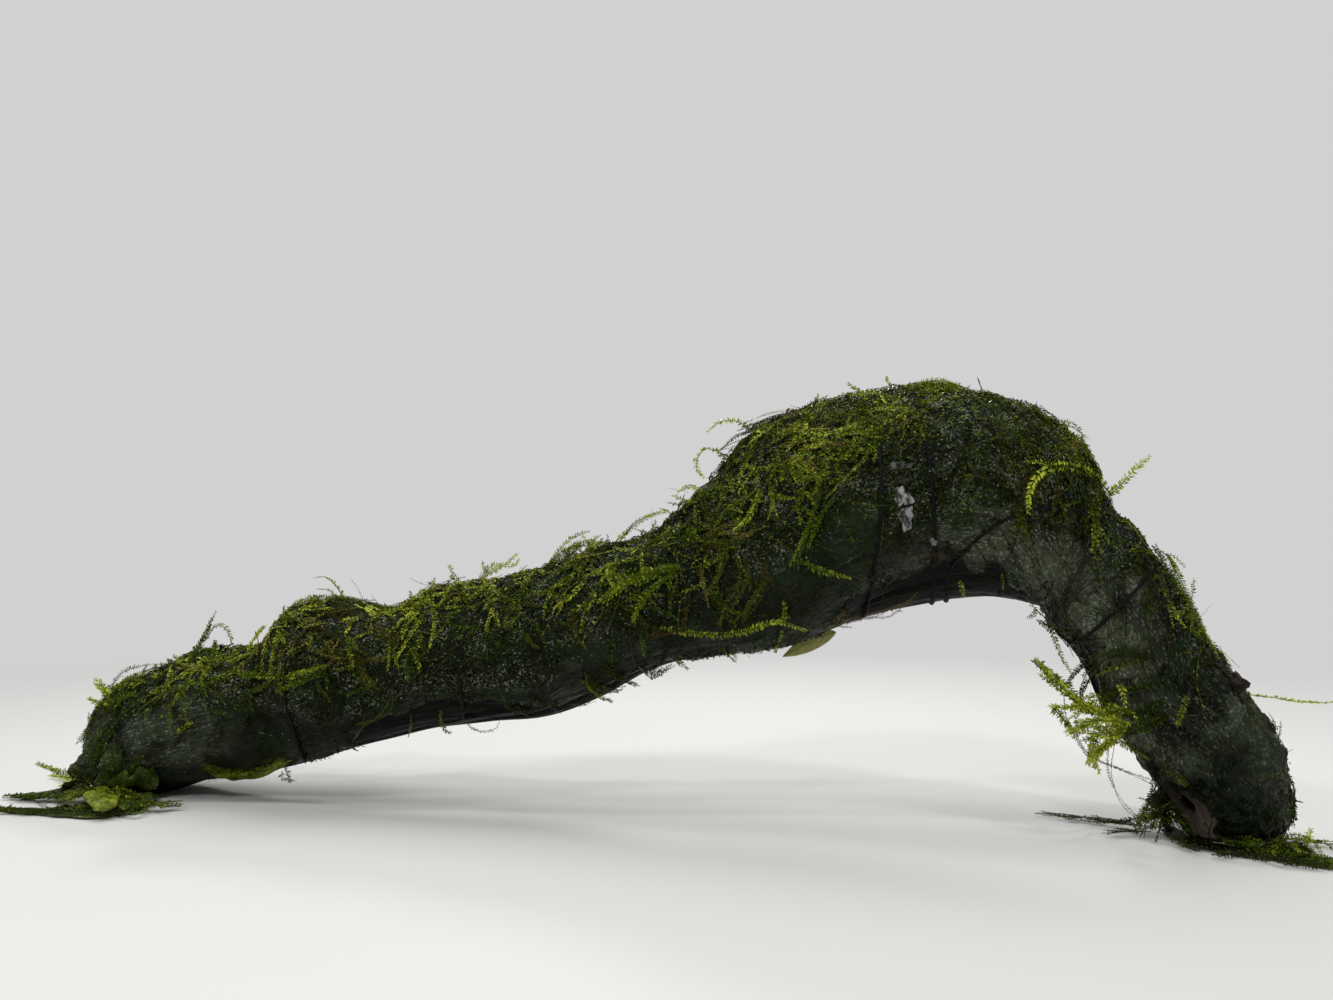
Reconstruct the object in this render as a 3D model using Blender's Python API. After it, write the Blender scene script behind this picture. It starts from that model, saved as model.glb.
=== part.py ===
"""Java moss tied over an arched piece of driftwood.

Metres, +Z up. The wood runs along +X from its thin left end to its right foot, and the viewer
looks along +Y. Every surface comes from one function, skin(), which carries a closed section
along the wood. A place on it is a station, counted along the wood, and a column, counted round
it: columns 0 to MOSS_COLUMNS cross the mossy outer side from the far border to the near one,
and the columns after them cross the bare underside.
"""

import math

import bmesh
import bpy
import numpy as np
from mathutils import Vector

MM = 0.001
GAP = 0.3
MOSS_COLUMNS = 12
BARE_COLUMNS = 5
COLUMNS = MOSS_COLUMNS + BARE_COLUMNS
FAR_BORDER_TUCK = 12.0

# Sections of the bare wood in millimetres: the outer point (x, z), the inner point (x, z), the
# middle's y, half the depth, the moss on the outer side, and the near border of the moss in
# degrees from the outer point.
STATIONS = np.array([
    (-146.0, 18.0, -145.6, 3.0, 2.0, 6.5, 2.0, 140),
    (-144.6, 21.5, -144.2, -0.8, 2.0, 9.0, 2.4, 145),
    (-141.0, 25.8, -139.5, -1.6, 2.0, 12.0, 2.8, 148),
    (-132.0, 29.2, -128.5, -1.0, 2.0, 14.2, 3.0, 150),
    (-118.0, 34.6, -113.5, 4.0, 2.0, 15.0, 3.2, 150),
    (-103.0, 36.8, -98.0, 7.0, 1.5, 15.0, 3.0, 150),
    (-87.6, 43.0, -82.0, 11.5, 0.5, 15.5, 6.2, 147),
    (-74.6, 44.6, -67.0, 15.8, -0.5, 16.0, 5.2, 143),
    (-60.0, 45.8, -52.0, 19.6, -1.2, 15.5, 3.3, 141),
    (-47.0, 50.4, -37.5, 21.4, -1.5, 16.0, 3.0, 140),
    (-33.0, 52.8, -23.0, 22.4, -1.2, 16.0, 3.0, 140),
    (-20.0, 57.6, -9.5, 27.3, -0.5, 16.0, 3.0, 142),
    (-7.0, 61.8, 4.5, 34.8, 0.5, 15.5, 3.0, 140),
    (5.0, 65.8, 18.5, 37.7, 1.2, 16.5, 3.0, 134),
    (16.6, 74.4, 32.5, 39.2, 1.8, 18.0, 3.0, 128),
    (28.4, 87.6, 45.0, 42.2, 2.0, 19.5, 3.0, 124),
    (41.0, 94.4, 55.0, 46.2, 2.0, 20.0, 3.0, 122),
    (55.0, 96.8, 65.0, 49.4, 1.5, 20.0, 3.0, 122),
    (70.0, 98.4, 75.0, 52.2, 0.5, 20.0, 3.4, 122),
    (83.0, 97.2, 83.0, 53.2, -0.5, 19.5, 3.0, 125),
    (94.0, 92.0, 88.6, 52.2, -1.2, 18.5, 3.0, 132),
    (102.4, 85.6, 92.5, 50.6, -1.8, 17.0, 3.0, 142),
    (106.2, 77.6, 95.4, 48.8, -2.0, 15.5, 2.6, 150),
    (107.2, 74.0, 96.2, 47.6, -2.1, 14.8, 2.4, 152),
    (110.0, 70.6, 97.0, 46.2, -2.2, 14.5, 2.5, 152),
    (114.0, 66.4, 100.4, 42.0, -2.2, 14.0, 2.5, 152),
    (119.0, 58.4, 104.6, 36.5, -2.0, 13.5, 2.5, 152),
    (124.4, 49.0, 108.0, 28.6, -1.6, 13.2, 2.5, 152),
    (128.4, 38.4, 111.4, 21.6, -1.2, 12.8, 2.5, 150),
    (134.8, 29.2, 115.4, 15.8, -1.2, 12.5, 2.5, 147),
    (139.6, 19.0, 119.0, 9.8, -1.6, 12.3, 2.5, 143),
    (141.4, 8.6, 122.4, 4.0, -2.4, 11.8, 2.0, 140),
    (139.6, 0.0, 124.4, 0.0, -3.0, 10.5, 1.5, 140),
])
LAST = len(STATIONS) - 1
FORK = 23.0
SWELL = 13.5
MATS_START = 1
MATS_END = LAST - 0.5
COARSE = 20
FINE_AGAIN = 26
ROWS = np.concatenate([np.arange(0, COARSE, 0.5), np.arange(COARSE, FINE_AGAIN),
                       np.arange(FINE_AGAIN, LAST + 0.5, 0.5)])

# The rotted hollow under the hump: its station and column, its reach in each, and its depth.
HOLLOW_PLACE = (17.2, 12.9)
HOLLOW_REACH = (1.3, 0.8)
HOLLOW_DEPTH = 3.2

# Shoots that grow out of the moss: the root's station and column, then points in millimetres.
SHOOT_ROOT = 0.8
SHOOT_TIP = 0.45
SHOOT_RISE = 1.2
ARM_SHOOTS = {
    "end_high": ((1.4, 6.6), [(-146.4, -3, 28.4), (-149.6, -4, 29.2)]),
    "end_low": ((0.9, 7.4), [(-149.2, -6, 24.6), (-152.0, -7, 24.8)]),
    "tip": ((4.1, 5.3), [(-115.6, 1, 41.5), (-116.2, 2, 45.8)]),
    "tip_bend": ((4.4, 6.3), [(-110.5, -4, 41.8), (-104.8, -7, 40.0)]),
    "clump_arch": ((6.4, 6.5), [(-86.5, -7, 51.5), (-89.0, -14, 46.4), (-88.5, -19, 39.9),
                                (-87.0, -20.5, 34.3)]),
    "clump_top": ((6.3, 5.8), [(-85.8, 0.5, 53.6), (-86.2, 0, 57.0)]),
    "clump_curl": ((7.3, 6.0), [(-75.5, -2, 53.6), (-72.0, -4, 52.8)]),
    "mid_low": ((9.5, 6.3), [(-36.5, -5, 58.6), (-29.5, -6, 61.8)]),
    "blade": ((10.9, 6.5), [(-19.0, -2, 64.2), (-13.4, -1, 68.3)]),
    "blade_low": ((11.5, 6.2), [(-11.3, -4, 66.3), (-7.4, -6, 67.2)]),
    "toothed_arch": ((12.1, 6.1), [(-2.0, 0, 69.8), (3.1, 0, 72.6), (7.6, 0, 73.0)]),
    "under_loop": ((9.7, 10.6), [(-31.0, -15.5, 22.4), (-33.6, -14.0, 18.6),
                                 (-38.4, -12.5, 19.2)]),
}
HUMP_SHOOTS = {
    "arch": ((15.1, 5.7), [(25.4, -1, 93.8), (21.8, -3, 94.6), (18.4, -5, 91.6)]),
    "curl": ((14.4, 5.5), [(20.8, -3, 86.0), (17.6, -5, 88.0), (14.6, -6, 86.0), (14.8, -6.5, 82.4)]),
    "crest_hair": ((18.3, 6.0), [(73.0, 0, 105.4), (74.5, 1, 109.0)]),
    "stub_curl": ((21.6, 8.1), [(101.5, -19, 80.0), (96.5, -21.5, 80.4), (91.8, -23, 78.0),
                                (89.3, -23.5, 74.0), (89.6, -23.5, 69.6)]),
}
LEG_SHOOTS = {
    "upright": ((24.4, 6.5), [(114.5, -7, 77.0), (117.9, -9, 83.1)]),
    "outer_high": ((25.8, 6.2), [(124.0, -2, 60.8), (127.6, -1, 61.4)]),
    "outer_low": ((26.6, 6.0), [(129.4, 0, 52.0), (132.6, 1, 51.0)]),
    "inner": ((24.0, 10.5), [(95.5, -13.5, 43.0), (97.3, -11.5, 39.4), (100.0, -10.5, 35.5)]),
}

# Loose moss: each heap's middle, half sizes and fineness, and its strands from the thick end to
# the tip, in millimetres.
STRAND_ROOT = 1.0
STRAND_TIP = 0.6
HEAPS = {
    "moss_tuft_left_foot": ((-129.0, -17.0, 0.0), (17, 12, 7), 3),
    "moss_tuft_right_foot": ((115.5, -6.0, 0.0), (7, 6, 5), 2),
    "moss_trail_right_foot": ((130.0, -19.0, 0.0), (7, 3.5, 3), 2),
    "moss_spray_leg": ((110.0, -12.0, 26.0), (4, 3, 4), 2),
}
STRANDS = {
    "moss_tuft_left_foot": {
        "floor": [(-124.0, -23, 2.0), (-132.0, -28, 1.2), (-141.0, -30, 1.1), (-149.0, -30.5, 1.1),
                  (-156.0, -31, 0.8)],
        "sweep": [(-138.0, -17, 2.5), (-147.5, -15, 1.6), (-155.0, -14.5, 1.1), (-161.5, -14, 0.8)],
        "far": [(-138.0, -18, 3.0), (-150.5, -12, 2.4), (-155.0, -2, 2.0), (-161.0, 7, 1.5),
                (-173.0, 13, 1.0)],
        "near": [(-120.0, -20, 2.5), (-114.5, -21, 2.0), (-110.0, -19.5, 1.2)],
    },
    "moss_tuft_right_foot": {
        "floor": [(114.5, -4, 1.6), (108.5, 2, 1.3), (102.0, 6, 1.1), (94.5, 9.5, 0.8)],
        "low": [(115.0, -9, 1.6), (111.0, -8, 1.2), (106.0, -5.5, 0.8)],
    },
    "moss_trail_right_foot": {
        "bundle": [(128.0, -19.5, 1.8), (135.0, -23, 1.6), (142.0, -26.5, 1.3), (149.0, -30, 0.9)],
        "loop": [(131.0, -18.5, 1.4), (138.0, -15, 1.2), (144.5, -11, 1.1), (148.5, -11.5, 1.0),
                 (147.0, -16.5, 1.0)],
    },
    "moss_spray_leg": {
        "straight": [(109.0, -12.5, 26.5), (102.6, -11, 28.2), (96.9, -10.5, 32.8), (92.0, -10.5, 38.0)],
        "fan_high": [(109.0, -12.5, 26.0), (105.0, -12, 27.2), (101.0, -12, 28.4), (97.0, -12, 27.6)],
        "fan_low": [(109.0, -13, 25.0), (105.0, -14.5, 24.4), (100.5, -15, 24.6), (96.5, -15.5, 23.3)],
        "short": [(109.0, -12.5, 24.5), (106.0, -12.5, 20.8), (103.8, -12.5, 18.2), (102.8, -12.5, 15.4)],
        "long": [(108.5, -11, 27.0), (101.5, -8, 26.5), (100.8, -7.5, 21.5), (103.6, -7.5, 17.2),
                 (109.5, -7.5, 14.4), (120.0, -7.5, 11.0)],
        "thin": [(108.5, -11.5, 24.5), (107.6, -10, 18.5), (107.2, -9.5, 13.4), (108.8, -10, 7.6),
                 (112.4, -10.5, 5.2), (121.0, -10, 9.4)],
    },
}
TUFT_GREEN = ("moss_tuft_left_foot", "moss_tuft_right_foot", "moss_trail_right_foot")
LEG_STRAND = [(133.5, -2, 30.0), (141.0, -3, 30.2), (147.0, -4, 29.4), (151.5, -5, 29.2),
              (156.0, -6, 29.8)]

# The thread's winding: turns counted from its first pass in front, and the station it is at.
THREAD_ROUTE = [(-0.3, 5.7), (0, 6.2), (1, 9.3), (2, 12.9), (3, 17.05), (4, 17.8), (4.84, 17.95),
                (5.0, 20.3), (5.12, 23.2), (5.6, 24.5), (6.0, 25.4), (6.12, 25.8)]
THREAD_FRONT_COLUMN = 9.8
THREAD_RADIUS = 0.4
THREAD_STEP = 6.2
THREAD_PLAY = 0.35
THREAD_SAMPLES = 4000
THREAD_EASE = 60
THREAD_LEVEL = 30

LEAF_LENGTH = 14.0
LEAF_WIDTH = 3.4
LEAF_THICK = 0.4
LEAF_PLACE = (15.5, 13.3)
LEAF_TURN = (-20, -32, 8)

SURFACES = {
    "wood": ((0.045, 0.034, 0.026), 0.45),
    "moss_dark": ((0.018, 0.04, 0.012), 0.35),
    "moss_green": ((0.06, 0.11, 0.015), 0.4),
    "moss_pale": ((0.22, 0.32, 0.03), 0.45),
    "thread": ((0.008, 0.008, 0.009), 0.7),
    "leaf": ((0.3, 0.27, 0.05), 0.5),
}


def along(values, station):
    """Smooth curve through a table's rows: each span is a cubic whose end slopes are half the
    step between the rows on either side."""
    station = np.asarray(station, float)
    row = np.clip(np.floor(station).astype(int), 0, LAST - 1)
    t = (station - row)[..., None]
    before = values[np.maximum(row - 1, 0)]
    start = values[row]
    end = values[row + 1]
    after = values[np.minimum(row + 2, LAST)]
    slope_in = (end - before) / 2
    slope_out = (after - start) / 2
    return ((2 * t**3 - 3 * t**2 + 1) * start + (t**3 - 2 * t**2 + t) * slope_in
            + (3 * t**2 - 2 * t**3) * end + (t**3 - t**2) * slope_out)


def turn(station, column):
    """Angle round the section in radians, 0 at the outer point and growing towards the viewer:
    the moss columns share the mossy arc evenly, and the bare columns share the rest."""
    near = along(STATIONS, station)[..., 7]
    far = FAR_BORDER_TUCK - near
    column = np.mod(column, COLUMNS)
    mossy = far + (near - far) * column / MOSS_COLUMNS
    bare = near + (360 + far - near) * (column - MOSS_COLUMNS) / BARE_COLUMNS
    return np.radians(np.where(column <= MOSS_COLUMNS, mossy, bare))


def moss_depth(station, column):
    """Thickness of the moss: the table's value on the outer side, thinned towards both borders
    by the square root of a half sine, with lumps and hollows, and nothing on the bare side."""
    column = np.mod(column, COLUMNS)
    across = np.sin(math.pi * np.clip(column / MOSS_COLUMNS, 0, 1))
    crown = 0.22 + 0.78 * np.sqrt(across)
    lumps = 0.17 * np.sin(2.3 * station + 1.9 * column) + 0.15 * np.sin(3.9 * station - 1.2 * column)
    return along(STATIONS, station)[..., 6] * crown * (1 + lumps * across) * (column <= MOSS_COLUMNS)


def hollow(station, column):
    """Depth of the rotted hollow: a bell over the stations times a bell over the columns."""
    across = (station - HOLLOW_PLACE[0]) / HOLLOW_REACH[0]
    round_by = (np.mod(column, COLUMNS) - HOLLOW_PLACE[1]) / HOLLOW_REACH[1]
    return HOLLOW_DEPTH * np.exp(-across**2 - round_by**2)


def skin(station, column, lift):
    """Point at a height above the bare wood. The section is an ellipse between the outer and
    inner points and the half depth, with low lobes; the height, less the hollow, goes along its
    normal; and what would be under the ground is pressed flat on it."""
    station, column, lift = np.broadcast_arrays(
        np.asarray(station, float), np.asarray(column, float), np.asarray(lift, float))
    rows = along(STATIONS, station)
    outer_x, outer_z, inner_x, inner_z, middle_y, depth = np.moveaxis(rows[..., :6], -1, 0)
    angle = turn(station, column)
    lift = lift - hollow(station, column)
    half_x = (outer_x - inner_x) / 2
    half_z = (outer_z - inner_z) / 2
    height = np.hypot(half_x, half_z)
    lobes = 1 + 0.04 * np.sin(3 * angle + 0.9 * station) + 0.03 * np.sin(2 * angle - 0.6 * station)
    normal = np.hypot(np.cos(angle) / height, np.sin(angle) / depth)
    out = height * lobes * np.cos(angle) + lift * np.cos(angle) / height / normal
    side = depth * lobes * np.sin(angle) + lift * np.sin(angle) / depth / normal
    x = (outer_x + inner_x) / 2 + out * half_x / height
    y = middle_y - side
    z = (outer_z + inner_z) / 2 + out * half_z / height
    return np.stack([x, y, np.maximum(z, 0)], -1)


def collection(name):
    """New collection linked to the scene."""
    made = bpy.data.collections.new(name)
    bpy.context.scene.collection.children.link(made)
    return made


def material(name):
    """Principled material from the table of surfaces."""
    colour, roughness = SURFACES[name]
    made = bpy.data.materials.new(name)
    made.use_nodes = True
    shader = made.node_tree.nodes["Principled BSDF"]
    shader.inputs["Base Color"].default_value = (*colour, 1)
    shader.inputs["Roughness"].default_value = roughness
    shader.inputs["Metallic"].default_value = 0
    return made


def add(name, bm, home, surface=None):
    """Object for a closed form, its faces turned outwards and shaded smooth."""
    bmesh.ops.recalc_face_normals(bm, faces=bm.faces[:])
    mesh = bpy.data.meshes.new(name)
    bm.to_mesh(mesh)
    bm.free()
    made = bpy.data.objects.new(name, mesh)
    home.objects.link(made)
    mesh.shade_smooth()
    mesh.set_sharp_from_angle(angle=math.radians(50))
    if surface:
        mesh.materials.append(surface)
    return made


def from_curve(curve):
    """Welded form of a curve, read from a guide object that is then removed."""
    guide = bpy.data.objects.new(curve.name, curve)
    bpy.context.scene.collection.objects.link(guide)
    mesh = bpy.data.meshes.new_from_object(guide.evaluated_get(bpy.context.evaluated_depsgraph_get()))
    bpy.data.objects.remove(guide)
    bm = bmesh.new()
    bm.from_mesh(mesh)
    bmesh.ops.remove_doubles(bm, verts=bm.verts[:], dist=1e-6)
    bpy.data.meshes.remove(mesh)
    return bm


def bent_grid(bm, points):
    """Flat grid bent so that its rows and columns lie on the given points, in millimetres."""
    rows, columns = points.shape[:2]
    made = bmesh.ops.create_grid(bm, x_segments=rows - 1, y_segments=columns - 1, size=1)["verts"]
    for vert in made:
        row = round((vert.co.x + 1) / 2 * (rows - 1))
        column = round((vert.co.y + 1) / 2 * (columns - 1))
        vert.co = Vector(points[row, column]) * MM


def section_normal(station):
    """Unit direction along the wood, square to a station's section."""
    outer_x, outer_z, inner_x, inner_z = along(STATIONS, station)[:4]
    across = np.array([outer_x - inner_x, outer_z - inner_z])
    across = across / np.linalg.norm(across)
    return np.array([across[1], 0, -across[0]])


def rings(first, last, columns, clear=0.0, moss=0.0):
    """Rows of points between two stations, at a clearance from the bare wood and a share of the
    moss's thickness. A row at the fork or at the swelling steps back half the gap, so that
    neighbours which meet there stay apart."""
    stations = ROWS[(ROWS >= first) & (ROWS <= last)]
    lift = clear + moss * moss_depth(stations[:, None], columns[None, :])
    points = skin(stations[:, None], columns[None, :], lift)
    for row, side in ((0, 1), (-1, -1)):
        if stations[row] in (FORK, SWELL):
            points[row] += section_normal(stations[row]) * side * GAP / 2
    return points


def closed_tube(name, points, home, surface=None):
    """Solid whose rows are closed sections: a bent grid, its seam merged and its ends filled."""
    bm = bmesh.new()
    bent_grid(bm, points)
    bmesh.ops.remove_doubles(bm, verts=bm.verts[:], dist=1e-7)
    bmesh.ops.holes_fill(bm, edges=bm.edges[:], sides=0)
    return add(name, bm, home, surface)


def wood(name, first, last, home, surface):
    """One stretch of bare wood."""
    return closed_tube(name, rings(first, last, np.arange(COLUMNS + 1)), home, surface)


def moss_mat(name, first, last, home, surface):
    """Carpet of moss: an inner and an outer grid over the mossy arc, bridged at their rims."""
    columns = np.arange(MOSS_COLUMNS + 1)
    bm = bmesh.new()
    bent_grid(bm, rings(first, last, columns, clear=GAP))
    bent_grid(bm, rings(first, last, columns, clear=GAP, moss=1))
    bmesh.ops.bridge_loops(bm, edges=[edge for edge in bm.edges if edge.is_boundary])
    return add(name, bm, home, surface)


def smooth_route(points, steps=2):
    """Smooth curve through hand-placed points, with a few points for each span."""
    table = np.asarray(points, float)
    padded = np.vstack([2 * table[0] - table[1], table, 2 * table[-1] - table[-2]])
    route = []
    for span in range(len(table) - 1):
        before, start, end, after = padded[span:span + 4]
        for t in np.arange(steps) / steps:
            route.append(0.5 * (2 * start + (end - before) * t
                                + (2 * before - 5 * start + 4 * end - after) * t**2
                                + (3 * start - before - 3 * end + after) * t**3))
    route.append(table[-1])
    return np.array(route)


def strand(name, route, thick, thin, sides, home, surface=None):
    """Round strand as a bevelled curve with filled caps, tapered to its tip, then made a mesh."""
    curve = bpy.data.curves.new(name, "CURVE")
    curve.dimensions = "3D"
    curve.bevel_depth = MM
    curve.bevel_resolution = sides // 2 - 2
    curve.use_fill_caps = True
    spline = curve.splines.new("POLY")
    spline.points.add(len(route) - 1)
    for index, (point, place) in enumerate(zip(spline.points, route)):
        part = index / (len(route) - 1)
        point.co = (*(Vector(place) * MM), 1)
        point.radius = thick + (thin - thick) * part**1.5
    return add(name, from_curve(curve), home, surface)


def boolean(target, tool, operation):
    """Join a piece with a tool, or cut it by one. The tool is then a hidden guide."""
    step = target.modifiers.new(tool.name, "BOOLEAN")
    step.operation = operation
    step.solver = "EXACT"
    step.object = tool
    tool.hide_render = True
    tool.display_type = "WIRE"


def grow_shoots(mat, shoots, home):
    """Shoots joined to the mat that they grow from: each starts inside the moss, leaves along
    its normal, and follows its points."""
    for name, ((station, column), points) in shoots.items():
        depth = moss_depth(np.array(station), np.array(column))
        root = skin(station, column, GAP + depth / 2)
        out = skin(station, column, GAP + depth + SHOOT_RISE)
        route = smooth_route([root, out, *points])
        boolean(mat, strand("shoot_" + name, route, SHOOT_ROOT, SHOOT_TIP, 4, home), "UNION")


def heap(name, home, surface):
    """Low heap of loose moss: a ball with three and five lobes round it, stretched to its half
    sizes and flat where it rests."""
    middle, size, fineness = HEAPS[name]
    bm = bmesh.new()
    bmesh.ops.create_icosphere(bm, subdivisions=fineness, radius=1)
    for vert in bm.verts:
        bearing = math.atan2(vert.co.y, vert.co.x)
        lobes = 1 + 0.12 * math.sin(3 * bearing + 1) + 0.08 * math.sin(5 * bearing) * (1 - vert.co.z**2)
        place = [m + lobes * s * c for m, s, c in zip(middle, size, vert.co)]
        vert.co = Vector((place[0], place[1], max(place[2], 0))) * MM
    return add(name, bm, home, surface)


def loose_moss(name, home, surface, tools, clearance):
    """Heap with its strands joined on, cut back from the wood and its moss."""
    made = heap(name, home, surface)
    for key, points in STRANDS[name].items():
        tool = strand(name + "_" + key, smooth_route(points), STRAND_ROOT, STRAND_TIP, 4, tools)
        boolean(made, tool, "UNION")
    boolean(made, clearance, "DIFFERENCE")


def covered_tube(home):
    """Guide for what must be kept clear: the wood with its moss and twice the gap, carried on
    past the left end and down through the ground."""
    cover = rings(0, LAST, np.arange(COLUMNS + 1), clear=2.7 * GAP, moss=1)
    beyond = cover[:1] + np.array([-2 * GAP, 0, 0])
    below = cover[-1:] + np.array([0, 0, -5.0])
    return closed_tube("clearance", np.concatenate([beyond, cover, below]), home)


def thread_route():
    """Winding of the thread, in millimetres: the stations of its turns are joined and eased,
    it lies over the moss or the bare wood under it, and its points are evenly spaced."""
    turns, stations = np.array(THREAD_ROUTE, float).T
    fine = np.linspace(turns[0], turns[-1], THREAD_SAMPLES)
    ease = np.hanning(2 * THREAD_EASE + 1)
    padded = np.pad(np.interp(fine, turns, stations), THREAD_EASE, mode="edge")
    station = np.convolve(padded, ease / ease.sum(), mode="valid")
    column = THREAD_FRONT_COLUMN - COLUMNS * fine
    nearby = [(ahead, round_by) for ahead in (-0.4, 0, 0.4) for round_by in (-0.9, -0.4, 0, 0.4, 0.9)]
    depth = np.max([moss_depth(station + ahead, column + round_by) for ahead, round_by in nearby], axis=0)
    level = np.full(2 * THREAD_LEVEL + 1, 1 / (2 * THREAD_LEVEL + 1))
    lift = np.maximum(np.convolve(np.pad(depth, THREAD_LEVEL, mode="edge"), level, mode="valid"), depth)
    route = skin(station, column, lift + 2 * GAP + THREAD_RADIUS + THREAD_PLAY)
    run = np.concatenate([[0], np.cumsum(np.linalg.norm(np.diff(route, axis=0), axis=1))])
    even = np.linspace(0, run[-1], round(run[-1] / THREAD_STEP))
    return np.stack([np.interp(even, run, route[:, axis]) for axis in range(3)], -1)


def leaf(name, home, surface):
    """Flat pointed leaf: a closed outline of two bulging sides with a little thickness, tilted
    under the hump with its stalk end at the wood."""
    share = np.linspace(0, 1, 9)
    half = LEAF_WIDTH / 2 * np.sin(math.pi * share**0.8) ** 0.9
    outline = [(-LEAF_LENGTH * s, h) for s, h in zip(share, half)]
    outline += [(-LEAF_LENGTH * s, -h) for s, h in zip(share[-2:0:-1], half[-2:0:-1])]
    curve = bpy.data.curves.new(name, "CURVE")
    curve.dimensions = "2D"
    curve.fill_mode = "BOTH"
    curve.extrude = LEAF_THICK / 2 * MM
    spline = curve.splines.new("POLY")
    spline.points.add(len(outline) - 1)
    spline.use_cyclic_u = True
    for point, (x, y) in zip(spline.points, outline):
        point.co = (x * MM, y * MM, 0, 1)
    made = add(name, from_curve(curve), home, surface)
    made.location = Vector(skin(*LEAF_PLACE, 2 * GAP)) * MM
    made.rotation_euler = [math.radians(angle) for angle in LEAF_TURN]


def stand_on_origin(parts, guides):
    """Move everything so that the origin is under the middle of the parts, on the ground."""
    bpy.context.view_layer.update()
    corners = [part.matrix_world @ Vector(corner) for part in parts for corner in part.bound_box]
    middle_x = (min(c.x for c in corners) + max(c.x for c in corners)) / 2
    middle_y = (min(c.y for c in corners) + max(c.y for c in corners)) / 2
    for made in (*parts, *guides):
        made.location -= Vector((middle_x, middle_y, 0))


def build():
    for old in list(bpy.data.objects):
        bpy.data.objects.remove(old)
    parts = collection("java_moss_on_driftwood")
    tools = collection("cutters")
    look = {name: material(name) for name in SURFACES}

    wood("driftwood_arm", 0, FORK, parts, look["wood"])
    wood("driftwood_leg", FORK, LAST, parts, look["wood"])

    arm_mat = moss_mat("moss_mat_arm", MATS_START, SWELL, parts, look["moss_dark"])
    hump_mat = moss_mat("moss_mat_hump", SWELL, FORK, parts, look["moss_dark"])
    leg_mat = moss_mat("moss_mat_leg", FORK, MATS_END, parts, look["moss_dark"])
    grow_shoots(arm_mat, ARM_SHOOTS, tools)
    grow_shoots(hump_mat, HUMP_SHOOTS, tools)
    grow_shoots(leg_mat, LEG_SHOOTS, tools)

    clearance = covered_tube(tools)
    for name in HEAPS:
        surface = look["moss_green"] if name in TUFT_GREEN else look["moss_pale"]
        loose_moss(name, parts, surface, tools, clearance)
    trailing = strand("moss_strand_leg", smooth_route(LEG_STRAND), STRAND_ROOT, STRAND_TIP, 6, parts,
                      look["moss_pale"])
    boolean(trailing, clearance, "DIFFERENCE")

    strand("binding_thread", thread_route(), THREAD_RADIUS, THREAD_RADIUS, 6, parts, look["thread"])
    leaf("dead_leaf", parts, look["leaf"])
    stand_on_origin(parts.objects, tools.objects)


build()
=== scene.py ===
"""Java moss tied over an arched piece of driftwood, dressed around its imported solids.

Shapes are worked out in millimetres, in the branch's own frame, with +X along the wood and the
viewer on -Y. A place on the branch is a station, counted along the wood, and a column, counted
round it: columns 0 to 12 cross the mossy outer side from the far border to the near one, and
columns 12 to 17 cross the bare underside.
"""

import math

import bpy
import numpy as np
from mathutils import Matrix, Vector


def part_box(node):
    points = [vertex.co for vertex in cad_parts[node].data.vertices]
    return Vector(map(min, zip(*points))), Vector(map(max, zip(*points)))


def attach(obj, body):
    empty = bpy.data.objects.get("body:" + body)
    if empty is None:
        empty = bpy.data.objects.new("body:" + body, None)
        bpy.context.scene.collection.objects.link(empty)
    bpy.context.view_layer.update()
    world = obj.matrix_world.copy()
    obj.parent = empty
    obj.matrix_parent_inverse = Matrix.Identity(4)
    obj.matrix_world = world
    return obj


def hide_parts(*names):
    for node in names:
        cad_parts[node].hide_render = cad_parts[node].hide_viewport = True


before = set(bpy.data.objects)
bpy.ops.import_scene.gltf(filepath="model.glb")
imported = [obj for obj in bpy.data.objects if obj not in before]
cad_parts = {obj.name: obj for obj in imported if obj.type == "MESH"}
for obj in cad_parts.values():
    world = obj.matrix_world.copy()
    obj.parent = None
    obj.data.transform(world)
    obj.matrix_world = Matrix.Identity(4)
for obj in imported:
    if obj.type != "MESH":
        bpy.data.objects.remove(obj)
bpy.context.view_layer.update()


# Driftwood. One waterlogged branch, found and not carved: an arm that slopes up to a swollen
# hump, and a leg that forks down from it. Its grey-brown grain has opened in fine furrows, and
# the bare underside shows pits, cracks and a rotted hollow.

MM = 0.001
MOSS_COLUMNS = 12
BARE_COLUMNS = 5
COLUMNS = MOSS_COLUMNS + BARE_COLUMNS
OUTER = MOSS_COLUMNS / 2
FAR_BORDER_TUCK = 12.0
FORK = 23.0

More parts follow.
